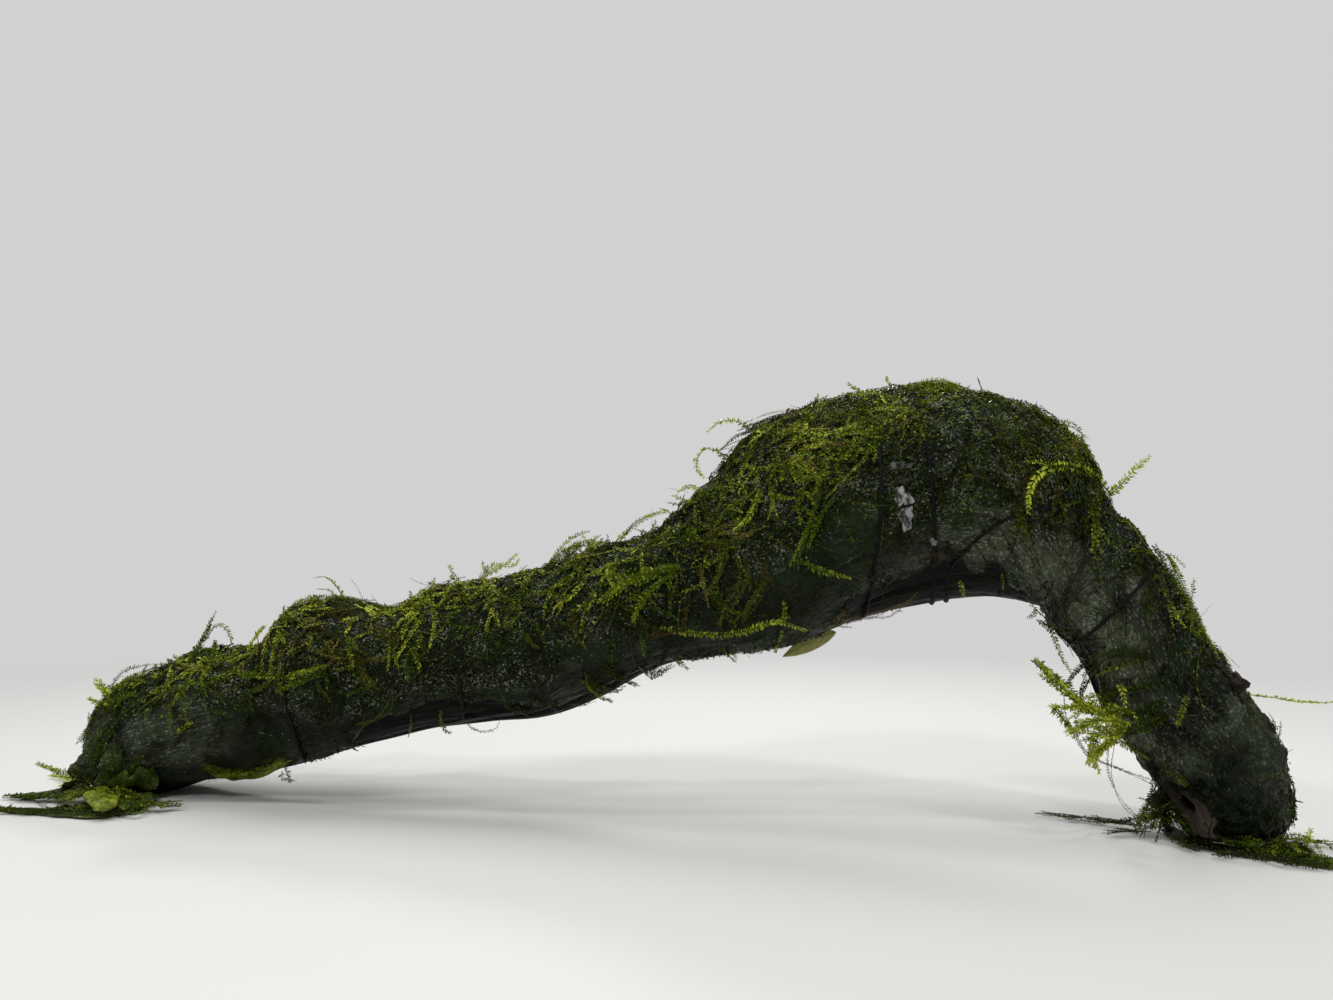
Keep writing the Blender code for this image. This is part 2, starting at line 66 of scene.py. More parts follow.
# Sections of the bare wood: the outer point (x, z), the inner point (x, z), the middle's y,
# half the depth, the moss on the outer side (entry THICKNESS), and its near border in degrees.
SECTIONS = np.array([
    (-146.0, 18.0, -145.6, 3.0, 2.0, 6.5, 2.0, 140),
    (-144.6, 21.5, -144.2, -0.8, 2.0, 9.0, 2.4, 145),
    (-141.0, 25.8, -139.5, -1.6, 2.0, 12.0, 2.8, 148),
    (-132.0, 29.2, -128.5, -1.0, 2.0, 14.2, 3.0, 150),
    (-118.0, 34.6, -113.5, 4.0, 2.0, 15.0, 3.2, 150),
    (-103.0, 36.8, -98.0, 7.0, 1.5, 15.0, 3.0, 150),
    (-87.6, 43.0, -82.0, 11.5, 0.5, 15.5, 6.2, 147),
    (-74.6, 44.6, -67.0, 15.8, -0.5, 16.0, 5.2, 143),
    (-60.0, 45.8, -52.0, 19.6, -1.2, 15.5, 3.3, 141),
    (-47.0, 50.4, -37.5, 21.4, -1.5, 16.0, 3.0, 140),
    (-33.0, 52.8, -23.0, 22.4, -1.2, 16.0, 3.0, 140),
    (-20.0, 57.6, -9.5, 27.3, -0.5, 16.0, 3.0, 142),
    (-7.0, 61.8, 4.5, 34.8, 0.5, 15.5, 3.0, 140),
    (5.0, 65.8, 18.5, 37.7, 1.2, 16.5, 3.0, 134),
    (16.6, 74.4, 32.5, 39.2, 1.8, 18.0, 3.0, 128),
    (28.4, 87.6, 45.0, 42.2, 2.0, 19.5, 3.0, 124),
    (41.0, 94.4, 55.0, 46.2, 2.0, 20.0, 3.0, 122),
    (55.0, 96.8, 65.0, 49.4, 1.5, 20.0, 3.0, 122),
    (70.0, 98.4, 75.0, 52.2, 0.5, 20.0, 3.4, 122),
    (83.0, 97.2, 83.0, 53.2, -0.5, 19.5, 3.0, 125),
    (94.0, 92.0, 88.6, 52.2, -1.2, 18.5, 3.0, 132),
    (102.4, 85.6, 92.5, 50.6, -1.8, 17.0, 3.0, 142),
    (106.2, 77.6, 95.4, 48.8, -2.0, 15.5, 2.6, 150),
    (107.2, 74.0, 96.2, 47.6, -2.1, 14.8, 2.4, 152),
    (110.0, 70.6, 97.0, 46.2, -2.2, 14.5, 2.5, 152),
    (114.0, 66.4, 100.4, 42.0, -2.2, 14.0, 2.5, 152),
    (119.0, 58.4, 104.6, 36.5, -2.0, 13.5, 2.5, 152),
    (124.4, 49.0, 108.0, 28.6, -1.6, 13.2, 2.5, 152),
    (128.4, 38.4, 111.4, 21.6, -1.2, 12.8, 2.5, 150),
    (134.8, 29.2, 115.4, 15.8, -1.2, 12.5, 2.5, 147),
    (139.6, 19.0, 119.0, 9.8, -1.6, 12.3, 2.5, 143),
    (141.4, 8.6, 122.4, 4.0, -2.4, 11.8, 2.0, 140),
    (139.6, 0.0, 124.4, 0.0, -3.0, 10.5, 1.5, 140),
])
LAST = len(SECTIONS) - 1
THICKNESS = 6
END_BULGE = 2.0

# Lobes round the section: how many, their drift a station and their share of the radius.
LOBES = [(3, 0.9, 0.04), (2, -0.6, 0.03)]

# Millimetres that a station and a column reach, about, and the radius of the straight bar that
# patterns are laid out on.
STATION_REACH = 13
COLUMN_REACH = 6
BAR_RADIUS = 20

# The rotted hollow, and bulges of the bare underside: station, column, reach along, reach round
# and depth or height.
HOLLOWS = [(17.2, 12.9, 1.3, 0.8, 3.2)]
BULGES = [(8.1, 14.2, 1.2, 1.3, 1.4), (11.9, 16.6, 0.8, 1.5, 1.7), (16.0, 16.4, 0.7, 1.4, 1.2)]

# Pits with steep edges: station, column, radius in millimetres and depth.
PITS = np.array([(8.9, 12.6, 1.5, 1.4), (30.5, 12.6, 3.3, 2.4), (11.4, 13.4, 1.1, 0.9),
                 (15.6, 12.9, 1.2, 1.0), (19.4, 13.6, 1.3, 1.1), (5.2, 13.8, 1.2, 0.8)])
WOOD_MOSSY_END = MOSS_COLUMNS - 1.4
WOOD_ROWS_A_STATION = 10
WOOD_MOSSY_COLUMNS = 16
WOOD_BARE_COLUMNS = 64


def along(station):
    """Row of the table at a station: each span is a cubic whose end slopes are half the step
    between the rows on either side."""
    station = np.asarray(station, float)
    row = np.clip(np.floor(station).astype(int), 0, LAST - 1)
    t = (station - row)[..., None]
    before = SECTIONS[np.maximum(row - 1, 0)]
    start = SECTIONS[row]
    end = SECTIONS[row + 1]
    after = SECTIONS[np.minimum(row + 2, LAST)]
    slope_in = (end - before) / 2
    slope_out = (after - start) / 2
    return ((2 * t**3 - 3 * t**2 + 1) * start + (t**3 - 2 * t**2 + t) * slope_in
            + (3 * t**2 - 2 * t**3) * end + (t**3 - t**2) * slope_out)


def turn(near, column):
    """Angle round the section in radians, 0 at the outer point and growing towards the viewer:
    the moss columns share the mossy arc evenly, and the bare columns share the rest."""
    far = FAR_BORDER_TUCK - near
    column = np.mod(column, COLUMNS)
    mossy = far + (near - far) * column / MOSS_COLUMNS
    bare = near + (360 + far - near) * (column - MOSS_COLUMNS) / BARE_COLUMNS
    return np.radians(np.where(column <= MOSS_COLUMNS, mossy, bare))


def bell(value, middle, reach):
    """Bell curve: 1 at the middle, and a third at the reach."""
    return np.exp(-((value - middle) / reach) ** 2)


def bells(table, station, column):
    """Sum of a table's spots here: each is its strength times a bell over the stations times a
    bell over the columns. A row is station, column, reach along, reach round and strength."""
    return sum(strength * bell(station, at, long) * bell(column, round_by, wide)
               for at, round_by, long, wide, strength in table)


def skin(station, column, lift):
    """Point at a height above the bare wood. The section is an ellipse with low lobes, the
    height, less the rotted hollow, goes along its normal, and nothing goes under the ground.
    From station 0 to -1 the end is rounded off: the section shrinks as a circle's chord does
    while it moves out by the bulge."""
    station, column, lift = np.broadcast_arrays(
        np.asarray(station, float), np.asarray(column, float), np.asarray(lift, float))
    beyond = np.clip(-station, 0, 1)
    rows = along(np.maximum(station, 0))
    outer_x, outer_z, inner_x, inner_z, middle_y, depth, _, near = np.moveaxis(rows, -1, 0)
    angle = turn(near, column)
    lift = lift - bells(HOLLOWS, station, np.mod(column, COLUMNS))
    half_x = (outer_x - inner_x) / 2
    half_z = (outer_z - inner_z) / 2
    height = np.hypot(half_x, half_z)
    lobes = 1 + sum(size * np.sin(order * angle + drift * station) for order, drift, size in LOBES)
    normal = np.hypot(np.cos(angle) / height, np.sin(angle) / depth)
    chord = np.sqrt(1 - beyond**2)
    out = (height * lobes * np.cos(angle) + lift * np.cos(angle) / height / normal) * chord
    side = (depth * lobes * np.sin(angle) + lift * np.sin(angle) / depth / normal) * chord
    x = (outer_x + inner_x) / 2 + out * half_x / height - beyond * (END_BULGE + lift)
    z = (outer_z + inner_z) / 2 + out * half_z / height
    return np.stack([x, middle_y - side, np.maximum(z, 0)], -1)


def rolled(station, column, stretch):
    """Place on the wood laid out as a straight round bar, in millimetres: the run along it
    shortened by the stretch, and the two coordinates round it. Patterns read it, so that they
    follow the wood and meet themselves round the back."""
    station, column = np.broadcast_arrays(np.asarray(station, float), np.asarray(column, float))
    angle = 2 * math.pi * column / COLUMNS
    return np.stack([station * STATION_REACH / stretch, BAR_RADIUS * np.cos(angle),
                     BAR_RADIUS * np.sin(angle)], -1)


def waves(places, length, seed, count=7):
    """Smooth noise of about -1 to 1: sines in unlike directions, with waves near the length."""
    rng = np.random.default_rng(seed)
    ways = rng.normal(size=(count, 3))
    ways = ways / np.linalg.norm(ways, axis=1, keepdims=True)
    ways = ways / (length * rng.uniform(0.7, 1.5, (count, 1)))
    phases = rng.uniform(0, 2 * math.pi, count)
    return np.sin(2 * math.pi * places @ ways.T + phases).sum(-1) / math.sqrt(count)


def ripples(table, station, column):
    """Sum of noises laid out on the wood: each row is a height, the stretch along the wood, the
    length of its waves and its seed."""
    return sum(height * waves(rolled(station, column, stretch), length, seed)
               for height, stretch, length, seed in table)


def in_pits(station, column):
    """How deep a place lies in each of the pits, 0 to 1 and steep at their edges."""
    station, column = np.broadcast_arrays(station, column)
    at, round_by, radius, _ = PITS.T
    ahead = (station[..., None] - at) * STATION_REACH
    aside = (np.mod(column, COLUMNS)[..., None] - round_by) * COLUMN_REACH
    return np.exp(-(np.hypot(ahead, aside) / radius) ** 4)


def furrows(station, column):
    """Height of the wood's relief: thin grooves and cracks where stretched noise crosses zero,
    shallow waves between them, the bulges and the pits, and none of it raised under the moss."""
    grooves = (1 - np.minimum(np.abs(ripples([(1, 14, 3.2, 11)], station, column)), 1)) ** 5
    cracks = (1 - np.minimum(np.abs(ripples([(1, 7, 9.0, 12)], station, column)), 1)) ** 12
    wrapped = np.mod(column, COLUMNS)
    height = ripples([(0.35, 4, 9.0, 13)], station, column) - 0.45 * grooves - 0.9 * cracks
    height = height + bells(BULGES, station, wrapped) - in_pits(station, column) @ PITS[:, 3]
    return np.where(wrapped > MOSS_COLUMNS, height, np.minimum(height, 0))


def make_piece(name, points, faces, surface, chart, values=None, flat=False):
    """Piece of the object: a mesh from points in millimetres and arrays of faces, moved to the
    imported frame, with its map for each corner, its named values at the points, its material
    and its body."""
    corners = np.concatenate([group.ravel() for group in faces]).astype(np.int32)
    counts = np.concatenate([np.full(len(group), group.shape[1]) for group in faces])
    mesh = bpy.data.meshes.new(name)
    mesh.vertices.add(len(points))
    mesh.vertices.foreach_set("co", ((points + TO_FRAME) * MM).astype(np.float32).ravel())
    mesh.loops.add(len(corners))
    mesh.loops.foreach_set("vertex_index", corners)
    mesh.polygons.add(len(counts))
    mesh.polygons.foreach_set("loop_start", (np.cumsum(counts) - counts).astype(np.int32))
    mesh.uv_layers.new(name="OFBake").uv.foreach_set("vector", chart.astype(np.float32).ravel())
    for key, value in (values or {}).items():
        kind = "FLOAT_VECTOR" if value.ndim == 2 else "FLOAT"
        layer = mesh.attributes.new(key, kind, "POINT")
        layer.data.foreach_set("vector" if value.ndim == 2 else "value", value.astype(np.float32).ravel())
    mesh.update()
    mesh.validate()
    if flat:
        mesh.shade_flat()
    else:
        mesh.shade_smooth()
    mesh.materials.append(surface)
    piece = bpy.data.objects.new(name, mesh)
    bpy.context.scene.collection.objects.link(piece)
    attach(piece, "root")
    return piece


class Tone:
    """A socket in a material's node tree. Arithmetic on it adds Math nodes, mixed() blends two
    colours by it, and node() adds any other node, its settings first and then its sockets."""

    def __init__(self, tree, socket=None):
        self.tree = tree
        self.socket = socket

    def node(self, kind, settings=None, sockets=None, output=0):
        made = self.tree.nodes.new("ShaderNode" + kind)
        for key, value in (settings or {}).items():
            if key == "stops":
                while len(made.color_ramp.elements) < len(value):
                    made.color_ramp.elements.new(0.5)
                for stop, (place, colour) in zip(made.color_ramp.elements, value):
                    stop.position = place
                    stop.color = (*colour, 1)
            else:
                setattr(made, key, value)
        for key, value in (sockets or {}).items():
            if isinstance(value, Tone):
                self.tree.links.new(value.socket, made.inputs[key])
            else:
                made.inputs[key].default_value = value
        return Tone(self.tree, made.outputs[output] if made.outputs else None)

    def place(self):
        """Place on the piece, in its own coordinates."""
        return self.node("TexCoord", {}, {}, "Object")

    def value(self, name, kind="Fac"):
        """Value that the piece carries at its points."""
        return self.node("Attribute", {"attribute_name": name}, {}, kind)

    def math(self, operation, first, second=0.0):
        return self.node("Math", {"operation": operation}, {0: first, 1: second})

    def __add__(self, other):
        return self.math("ADD", self, other)

    def __sub__(self, other):
        return self.math("SUBTRACT", self, other)

    def __rsub__(self, other):
        return self.math("SUBTRACT", other, self)

    def __mul__(self, other):
        return self.math("MULTIPLY", self, other)

    __radd__ = __add__
    __rmul__ = __mul__

    def between(self, low, high):
        """This value spread from 0 at low to 1 at high, and held there."""
        return self.node("MapRange", {}, {"Value": self, "From Min": low, "From Max": high})

    def mixed(self, none, full):
        """Colour between two, by this value."""
        none = none if isinstance(none, Tone) else (*none, 1)
        full = full if isinstance(full, Tone) else (*full, 1)
        return self.node("Mix", {"data_type": "RGBA"}, {0: self, 6: none, 7: full}, 2)

    def noise(self, scale, detail, rough):
        """Noise read at this place."""
        return self.node("TexNoise", {}, {"Vector": self, "Scale": scale, "Detail": detail,
                                          "Roughness": rough})

    def bump(self, distance):
        """Normal bent by this height."""
        return self.node("Bump", {}, {"Height": self, "Distance": distance, "Strength": 1.0})


def surface(name, paint):
    """Material: paint is handed the tree and gives the Principled shader's sockets."""
    made = bpy.data.materials.new(name)
    made.use_nodes = True
    made.node_tree.nodes.clear()
    start = Tone(made.node_tree)
    shader = start.node("BsdfPrincipled", {}, paint(start))
    start.node("OutputMaterial", {}, {"Surface": shader})
    return made


cad_stations = np.arange(0, FORK, 0.5)[:, None]
low_corner = skin(cad_stations, np.arange(COLUMNS), 0).min((0, 1))
TO_FRAME = np.array([*(np.array(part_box("driftwood_arm")[0])[:2] / MM - low_corner[:2]), 0.0])


def stations_between(first, last, a_station):
    """Stations of a piece's rings, evenly spaced; a piece that starts at the left end gets its
    rounded end too, where equal angles of the circle make the steps."""
    body = np.linspace(first, last, round((last - first) * a_station) + 1)
    if first > 0:
        return body
    return np.concatenate([-np.sin(np.linspace(0.98, 0, 10, endpoint=False) * math.pi / 2), body])


def ring_chart(rows, columns):
    """Map of closed rings: one cell for each quad, and a small corner for the two end caps."""
    row, column = np.meshgrid(np.arange(rows - 1), np.arange(columns), indexing="ij")
    cells = np.stack([np.stack([column, row], -1), np.stack([column + 1, row], -1),
                      np.stack([column + 1, row + 1], -1), np.stack([column, row + 1], -1)], -2)
    cells = cells.reshape(-1, 2) / np.array([columns, rows - 1]) * np.array([1, 0.96])
    angle = np.linspace(0, 2 * math.pi, columns, endpoint=False)
    cap = np.stack([0.03 * np.cos(angle) + 0.1, 0.015 * np.sin(angle) + 0.98], -1)
    return np.concatenate([cells, cap, cap + np.array([0.3, 0])])


def ring_faces(rows, columns):
    """Faces of closed rings of points: quads with their outside outwards, and a cap at each end."""
    row, column = np.meshgrid(np.arange(rows - 1), np.arange(columns), indexing="ij")
    ahead = (column + 1) % columns
    quads = np.stack([row * columns + column, row * columns + ahead,
                      (row + 1) * columns + ahead, (row + 1) * columns + column], -1).reshape(-1, 4)
    rim = np.arange(columns)[None, :]
    return [quads, rim[:, ::-1], rim + (rows - 1) * columns]


def ring_piece(name, points, surface, values, node=None):
    """Piece of closed rings, from a grid of points with a ring in each row and its values on the
    same grid, in place of the node if one is given."""
    rows, columns = points.shape[:2]
    values = {key: value.reshape(rows * columns, *value.shape[2:]) for key, value in values.items()}
    piece = make_piece(name, points.reshape(-1, 3), ring_faces(rows, columns), surface,
                       ring_chart(rows, columns), values)
    if node:
        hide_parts(node)


def paint_wood(tree):
    place = tree.place()
    grain = tree.value("grain", "Vector")
    streak = grain.noise(0.5, 6, 0.6)
    fine = grain.noise(1.6, 4, 0.6)
    damp = place.noise(60, 3, 0.5)
    foot = grain.node("SeparateXYZ", {}, {0: grain}, 0).between(43.0, 45.0)
    base = streak.between(0.35, 0.7).mixed((0.001, 0.001, 0.0008), (0.0055, 0.0052, 0.004))
    base = damp.between(0.52, 0.75).mixed(base, (0.013, 0.0095, 0.0075))
    base = fine.between(0.55, 0.35).mixed(base, (0.001, 0.001, 0.0008))
    base = (foot * streak.between(0.3, 0.5)).mixed(base, (0.17, 0.137, 0.112))
    # Painted shade: the pits are painted near black, as their depth would shade them.
    base = tree.value("pit").between(0.15, 0.6).mixed(base, (0.001, 0.0009, 0.0008))
    return {"Base Color": base, "Roughness": damp.between(0.3, 0.8) * 0.2 + 0.35,
            "Normal": (streak * 0.6 + fine * 0.5).bump(0.0009), "Specular IOR Level": 0.06}


wood_surface = surface("wet_driftwood", paint_wood)
wood_columns = np.concatenate([np.linspace(0, WOOD_MOSSY_END, WOOD_MOSSY_COLUMNS, endpoint=False),
                               np.linspace(WOOD_MOSSY_END, COLUMNS, WOOD_BARE_COLUMNS, endpoint=False)])
for name, first, last, node in (("bare_wood_arm", 0, FORK, "driftwood_arm"),
                                ("bare_wood_leg", FORK, LAST, "driftwood_leg")):
    wood_rows = stations_between(first, last, WOOD_ROWS_A_STATION)[:, None]
    ring_piece(name, skin(wood_rows, wood_columns, furrows(wood_rows, wood_columns)), wood_surface,
               {"grain": rolled(wood_rows, wood_columns, 9),
                             "pit": in_pits(wood_rows, wood_columns).sum(-1)}, node)


# Matted moss. Old stems and leaves pressed by their rootlets and the thread into a near-black
# wet carpet. Its crown is a net of tiny leaves, and low on both sides it thins to a smooth
# slate film, whose ragged border leaves the underside bare.

SWELL = 13.5
MAT_BORDER = np.array([(-1, 13.8), (0.5, 13.6), (3, 13.4), (5.5, 13.0), (6.8, 12.2), (8, 11.5), (9.5, 11.6),
                       (10.3, 12.9), (12, 13.6), (15, 13.6), (16, 12.9), (18, 12.9), (20, 13.3),
                       (23, 13.3), (26, 13.4), (29, 13.0), (29.8, 12.9), (30.1, 12.0), (30.4, 11.3),
                       (32, 11.2)]).T
FILM_BORDER = np.array([(-1, 7.4), (0.5, 7.5), (2, 7.9), (3.5, 8.4), (5, 9.2), (6, 10.0), (7, 10.9),
                        (12, 10.6), (14, 10.2), (16, 10.8), (20, 11.0), (22, 9.6), (23.5, 8.6), (26, 8.2),
                        (27.5, 7.8), (29, 6.7), (32, 6.5)]).T

# Where the film is painted lighter as pools of light, and where the carpet is thinner or, with a
# minus, thicker than its table says: station, column, reach along, reach round and strength.
PAINTED_LIGHT_SPOTS = [(24.5, 10.8, 1.0, 1.2, 0.3), (27.1, 10.8, 1.6, 1.3, 1.3), (20.8, 12.0, 1.4, 1.6, 0.4),
              (18.7, 11.6, 1.6, 1.4, 0.55), (29.0, 10.6, 0.8, 1.3, 0.1), (31.0, 10.4, 1.0, 1.2, 0.1),
              (28.3, 9.6, 0.7, 0.8, 0.5)]
ALL_ROUND = 1e6
THIN_SPOTS = [(15, 7.5, 0.8, 2, 0.25), (20.3, 6, 1.3, ALL_ROUND, 0.2), (5.3, 6, 0.5, ALL_ROUND, 0.5),
              (6.4, 6, 0.5, ALL_ROUND, -0.16)]

# Noises of the carpet: height, stretch along the wood, length of the waves and seed.
NET = [(0.28, 1, 6.0, 31), (0.26, 1, 2.6, 32), (0.16, 1.6, 1.5, 33)]
STREAKS = [(0.16, 5, 3.0, 34), (0.1, 8, 1.7, 35)]
FOLDS = [(1, 3, 4.5, 36), (0.6, 1, 5.0, 37)]
MAT_OUTER_COLUMNS = 104
MAT_INNER_COLUMNS = 8
MAT_ROWS_A_STATION = 19
MAT_TUCK = 0.7
MAT_END = LAST - 0.05


def smooth(value, low, high):
    """Share of the way from low to high, held at both ends and eased there."""
    share = np.clip((value - low) / (high - low), 0, 1)
    return share * share * (3 - 2 * share)


def borders(station):
    """Columns of the mat's far and near borders: the table's, mirrored, with ragged noise."""
    station = np.asarray(station, float)
    places = np.stack([station * STATION_REACH, 0 * station, 0 * station], -1)
    edge = np.interp(station, *MAT_BORDER)
    near = edge + 0.26 * waves(places, 13, 21) + 0.05 * waves(places, 4, 22)
    far = MOSS_COLUMNS - edge - 0.26 * waves(places, 13, 23) - 0.05 * waves(places, 4, 24)
    return far, near


def film(station, column):
    """How much the mat is a film here, 0 to 1: it grows past a wavy line on each side."""
    edge = np.interp(station, *FILM_BORDER) + ripples([(0.45, 2, 14, 25)], station, column)
    return smooth(np.abs(column - OUTER) + OUTER - edge, -0.5, 0.6)


def creasing(station, column):
    """How much the film is wrinkled here, 0 to 1: over the leg and the hump's right side, and
    half as much on the upper part of the left end."""
    left_end = smooth(station, 5.4, 4.2) * smooth(np.abs(column - OUTER), 5.5, 4.5)
    return np.maximum(smooth(station, 16.5, 20), 0.5 * left_end)


def carpet(station, column):
    """Height of the matted moss over the bare wood: a share of the moss's thickness there under
    a rounded crown, with low lumps, a leafy net on the crown, streaks along the film, folds
    where it is wrinkled, and a feathered rim that is tucked into the wood. The film is thinner
    than the net, but for the foot, where the carpet thickens."""
    far, near = borders(station)
    across = np.clip((column - far) / (near - far), 0, 1)
    wet = film(station, column)
    crown = 0.3 + 0.7 * np.sqrt(np.sin(math.pi * across))
    share = 0.84 - 0.3 * wet * (1 - smooth(station, 27, 29)) + 0.38 * smooth(station, 28.5, 30.5)
    share = share + 0.25 * smooth(station, 30.9, 31.6) * bell(column, OUTER, 4)
    share = share - bells(THIN_SPOTS, station, column)
    thick = along(np.maximum(station, 0))[..., THICKNESS] * crown * share
    lumps = 1 + 0.17 * np.sin(2.3 * station + 1.9 * column) + 0.15 * np.sin(3.9 * station - 1.2 * column)
    relief = (1 - wet) * ripples(NET, station, column) + wet * ripples(STREAKS, station, column)
    deep = (0.2 + 0.8 * creasing(station, column)) * (0.62 + 0.4 * smooth(station, 27, 29.5))
    wrinkles = deep * (0.6 - np.minimum(np.abs(ripples(FOLDS, station, column)), 1.2))
    height = thick * lumps + relief + wrinkles * smooth(across, 0, 0.1)
    inside = np.minimum(column - far, near - column)
    rim = smooth(inside, 0, 0.35) * smooth(MAT_END - station, 0, 0.3)
    return np.maximum(height, 0.5) * rim - MAT_TUCK * (1 - rim)


def paint_mat(tree):
    place = tree.place()
    wet = tree.value("film")
    creased = tree.value("creased")
    folds = tree.value("folds", "Vector")
    glitter = place.noise(1900, 2, 0.6)
    patch = place.noise(160, 3, 0.6)
    green = place.noise(90, 2, 0.5)
    speckle = place.noise(1400, 3, 0.65)
    hairs = tree.value("grain", "Vector").noise(0.8, 5, 0.65)
    swirl = folds.noise(0.55, 4, 0.6)
    fold = swirl.math("ABSOLUTE", swirl - 0.5)
    streak = hairs.math("ABSOLUTE", hairs - 0.5)
    net = speckle.between(0.45, 0.7).mixed((0.0012, 0.0022, 0.0005), (0.012, 0.019, 0.003))
    net = green.between(0.5, 0.7).mixed(net, (0.009, 0.018, 0.001))
    slate = hairs.between(0.35, 0.7).mixed((0.001, 0.0022, 0.0006), (0.004, 0.0072, 0.0022))
    # Painted light: random tone with pools of light painted where the lit spots lie, and painted highlights
    # along the fold ridges of the crumpled film.
    tone_and_light_pools = (place.noise(55, 2, 0.5) + tree.value("lit") * 0.17).between(0.48, 0.62)
    crumpled_painted_light = tone_and_light_pools.mixed((0.0018, 0.003, 0.001), (0.075, 0.088, 0.052))
    ridge = tone_and_light_pools.mixed((0.01, 0.013, 0.007), (0.16, 0.18, 0.125))
    crumpled_painted_light = (fold.between(0.04, 0.0) * 0.7).mixed(crumpled_painted_light, ridge)
    slate = creased.mixed(slate, crumpled_painted_light)
    slate = green.between(0.55, 0.66).mixed(slate, (0.005, 0.015, 0.0015))
    # Painted highlights: pale grey glints painted in patches on the net, along the film's streaks and on the
    # wrinkles, mixed into the base colour.
    dash = folds.noise(2.4, 2, 0.5)
    wrinkle_glint = dash.between(0.55, 0.64) * fold.between(0.09, 0.03) * (tone_and_light_pools * 0.6 + 0.3)
    painted_glint = (1 - wet) * patch.between(0.45, 0.6) * 0.7 + wet * streak.between(0.02, 0.0) * 0.1
    painted_glint = creased * wrinkle_glint + painted_glint * glitter.between(0.55, 0.6)
    base = painted_glint.mixed(wet.mixed(net, slate), (0.34, 0.37, 0.31))
    height = wet.node("Mix", {"data_type": "FLOAT"}, {0: wet, 2: speckle, 3: streak + fold * 3}, 0)
    return {"Base Color": base, "Roughness": patch.between(0.3, 0.7) * 0.12 + 0.15,
            "Normal": (height + speckle * 0.15).bump(0.0012), "Specular IOR Level": 0.22,
            "Specular Tint": (0.8, 1.0, 0.65, 1)}


mat_surface = surface("matted_moss", paint_mat)
for name, first, last, node in (("moss_carpet_arm", 0, SWELL, "moss_mat_arm"),
                                ("moss_carpet_hump", SWELL, FORK, "moss_mat_hump"),
                                ("moss_carpet_leg", FORK, MAT_END, "moss_mat_leg")):
    mat_rows = stations_between(first, last, MAT_ROWS_A_STATION)[:, None]
    far, near = borders(mat_rows)
    outer_columns = far + (near - far) * np.linspace(0, 1, MAT_OUTER_COLUMNS)
    inner_columns = far + (near - far) * np.linspace(0.97, 0.03, MAT_INNER_COLUMNS)
    mat_columns = np.concatenate([outer_columns, inner_columns], 1)
    under = np.full(inner_columns.shape, -2 * MAT_TUCK)
    lift = np.concatenate([carpet(mat_rows, outer_columns), under], 1)
    ring_piece(name, skin(mat_rows, mat_columns, lift), mat_surface, {
        "grain": rolled(mat_rows, mat_columns, 9),
        "folds": rolled(mat_rows - 0.2 * mat_columns, mat_columns, 2.5),
        "film": np.concatenate([film(mat_rows, outer_columns), 0 * under], 1),
        # Faded towards the foot as painted shade: the film is darker and has fewer painted glints there.
        "creased": creasing(mat_rows, mat_columns) * (1 - 0.75 * smooth(mat_rows, 28, 30)),
        "lit": np.minimum(bells(PAINTED_LIGHT_SPOTS, mat_rows, mat_columns), 1)}, node)


# Loose leaves of the mat. Thousands of single leaves, each a millimetre long, that lie every
# way on the carpet. They are wet and their faces glitter under the lamps, and a share of them
# is painted pale grey as painted highlights.

MAT_LEAF = 0.9
MAT_LEAF_WIDTH = 0.4

# Brownness that marks a leaf painted pale grey, a painted highlight for a wet face that glints.
GLINT = 0.9
GROUND_GAP = 0.03
DRAWS = 6
MAT_LEAVES = {"moss_leaves_arm": (-0.9, SWELL, 26000), "moss_leaves_hump": (SWELL, FORK, 23000),
              "moss_leaves_leg": (FORK, MAT_END - 0.4, 7000)}


def unit(vectors):
    """The same directions, one long."""
    return vectors / np.maximum(np.linalg.norm(vectors, axis=-1, keepdims=True), 1e-9)


def slopes(station, column, lift=3.0):
    """How far a station and a column reach here, as two vectors, and the unit normal outwards."""
    step = 0.02
    ahead = (skin(station + step, column, lift) - skin(station - step, column, lift)) / (2 * step)
    round_by = (skin(station, column + step, lift) - skin(station, column - step, lift)) / (2 * step)
    return ahead, round_by, unit(np.cross(round_by, ahead))


def scattered(rng, count, first, last, density):
    """Random places on the moss, station and column, as many to the square millimetre as the
    density function says: of evenly drawn places, each stays by its share of the largest."""
    drawn = count * DRAWS
    station = rng.uniform(first, last, drawn)
    far, near = borders(station)
    column = far + (near - far) * rng.uniform(0.01, 0.99, drawn)
    ahead, round_by, _ = slopes(station, column)
    weight = np.linalg.norm(np.cross(ahead, round_by), axis=-1) * (near - far) * density(station, column)
    kept = rng.random(drawn) * np.quantile(weight, 0.98) < weight
    return station[kept][:count], column[kept][:count]


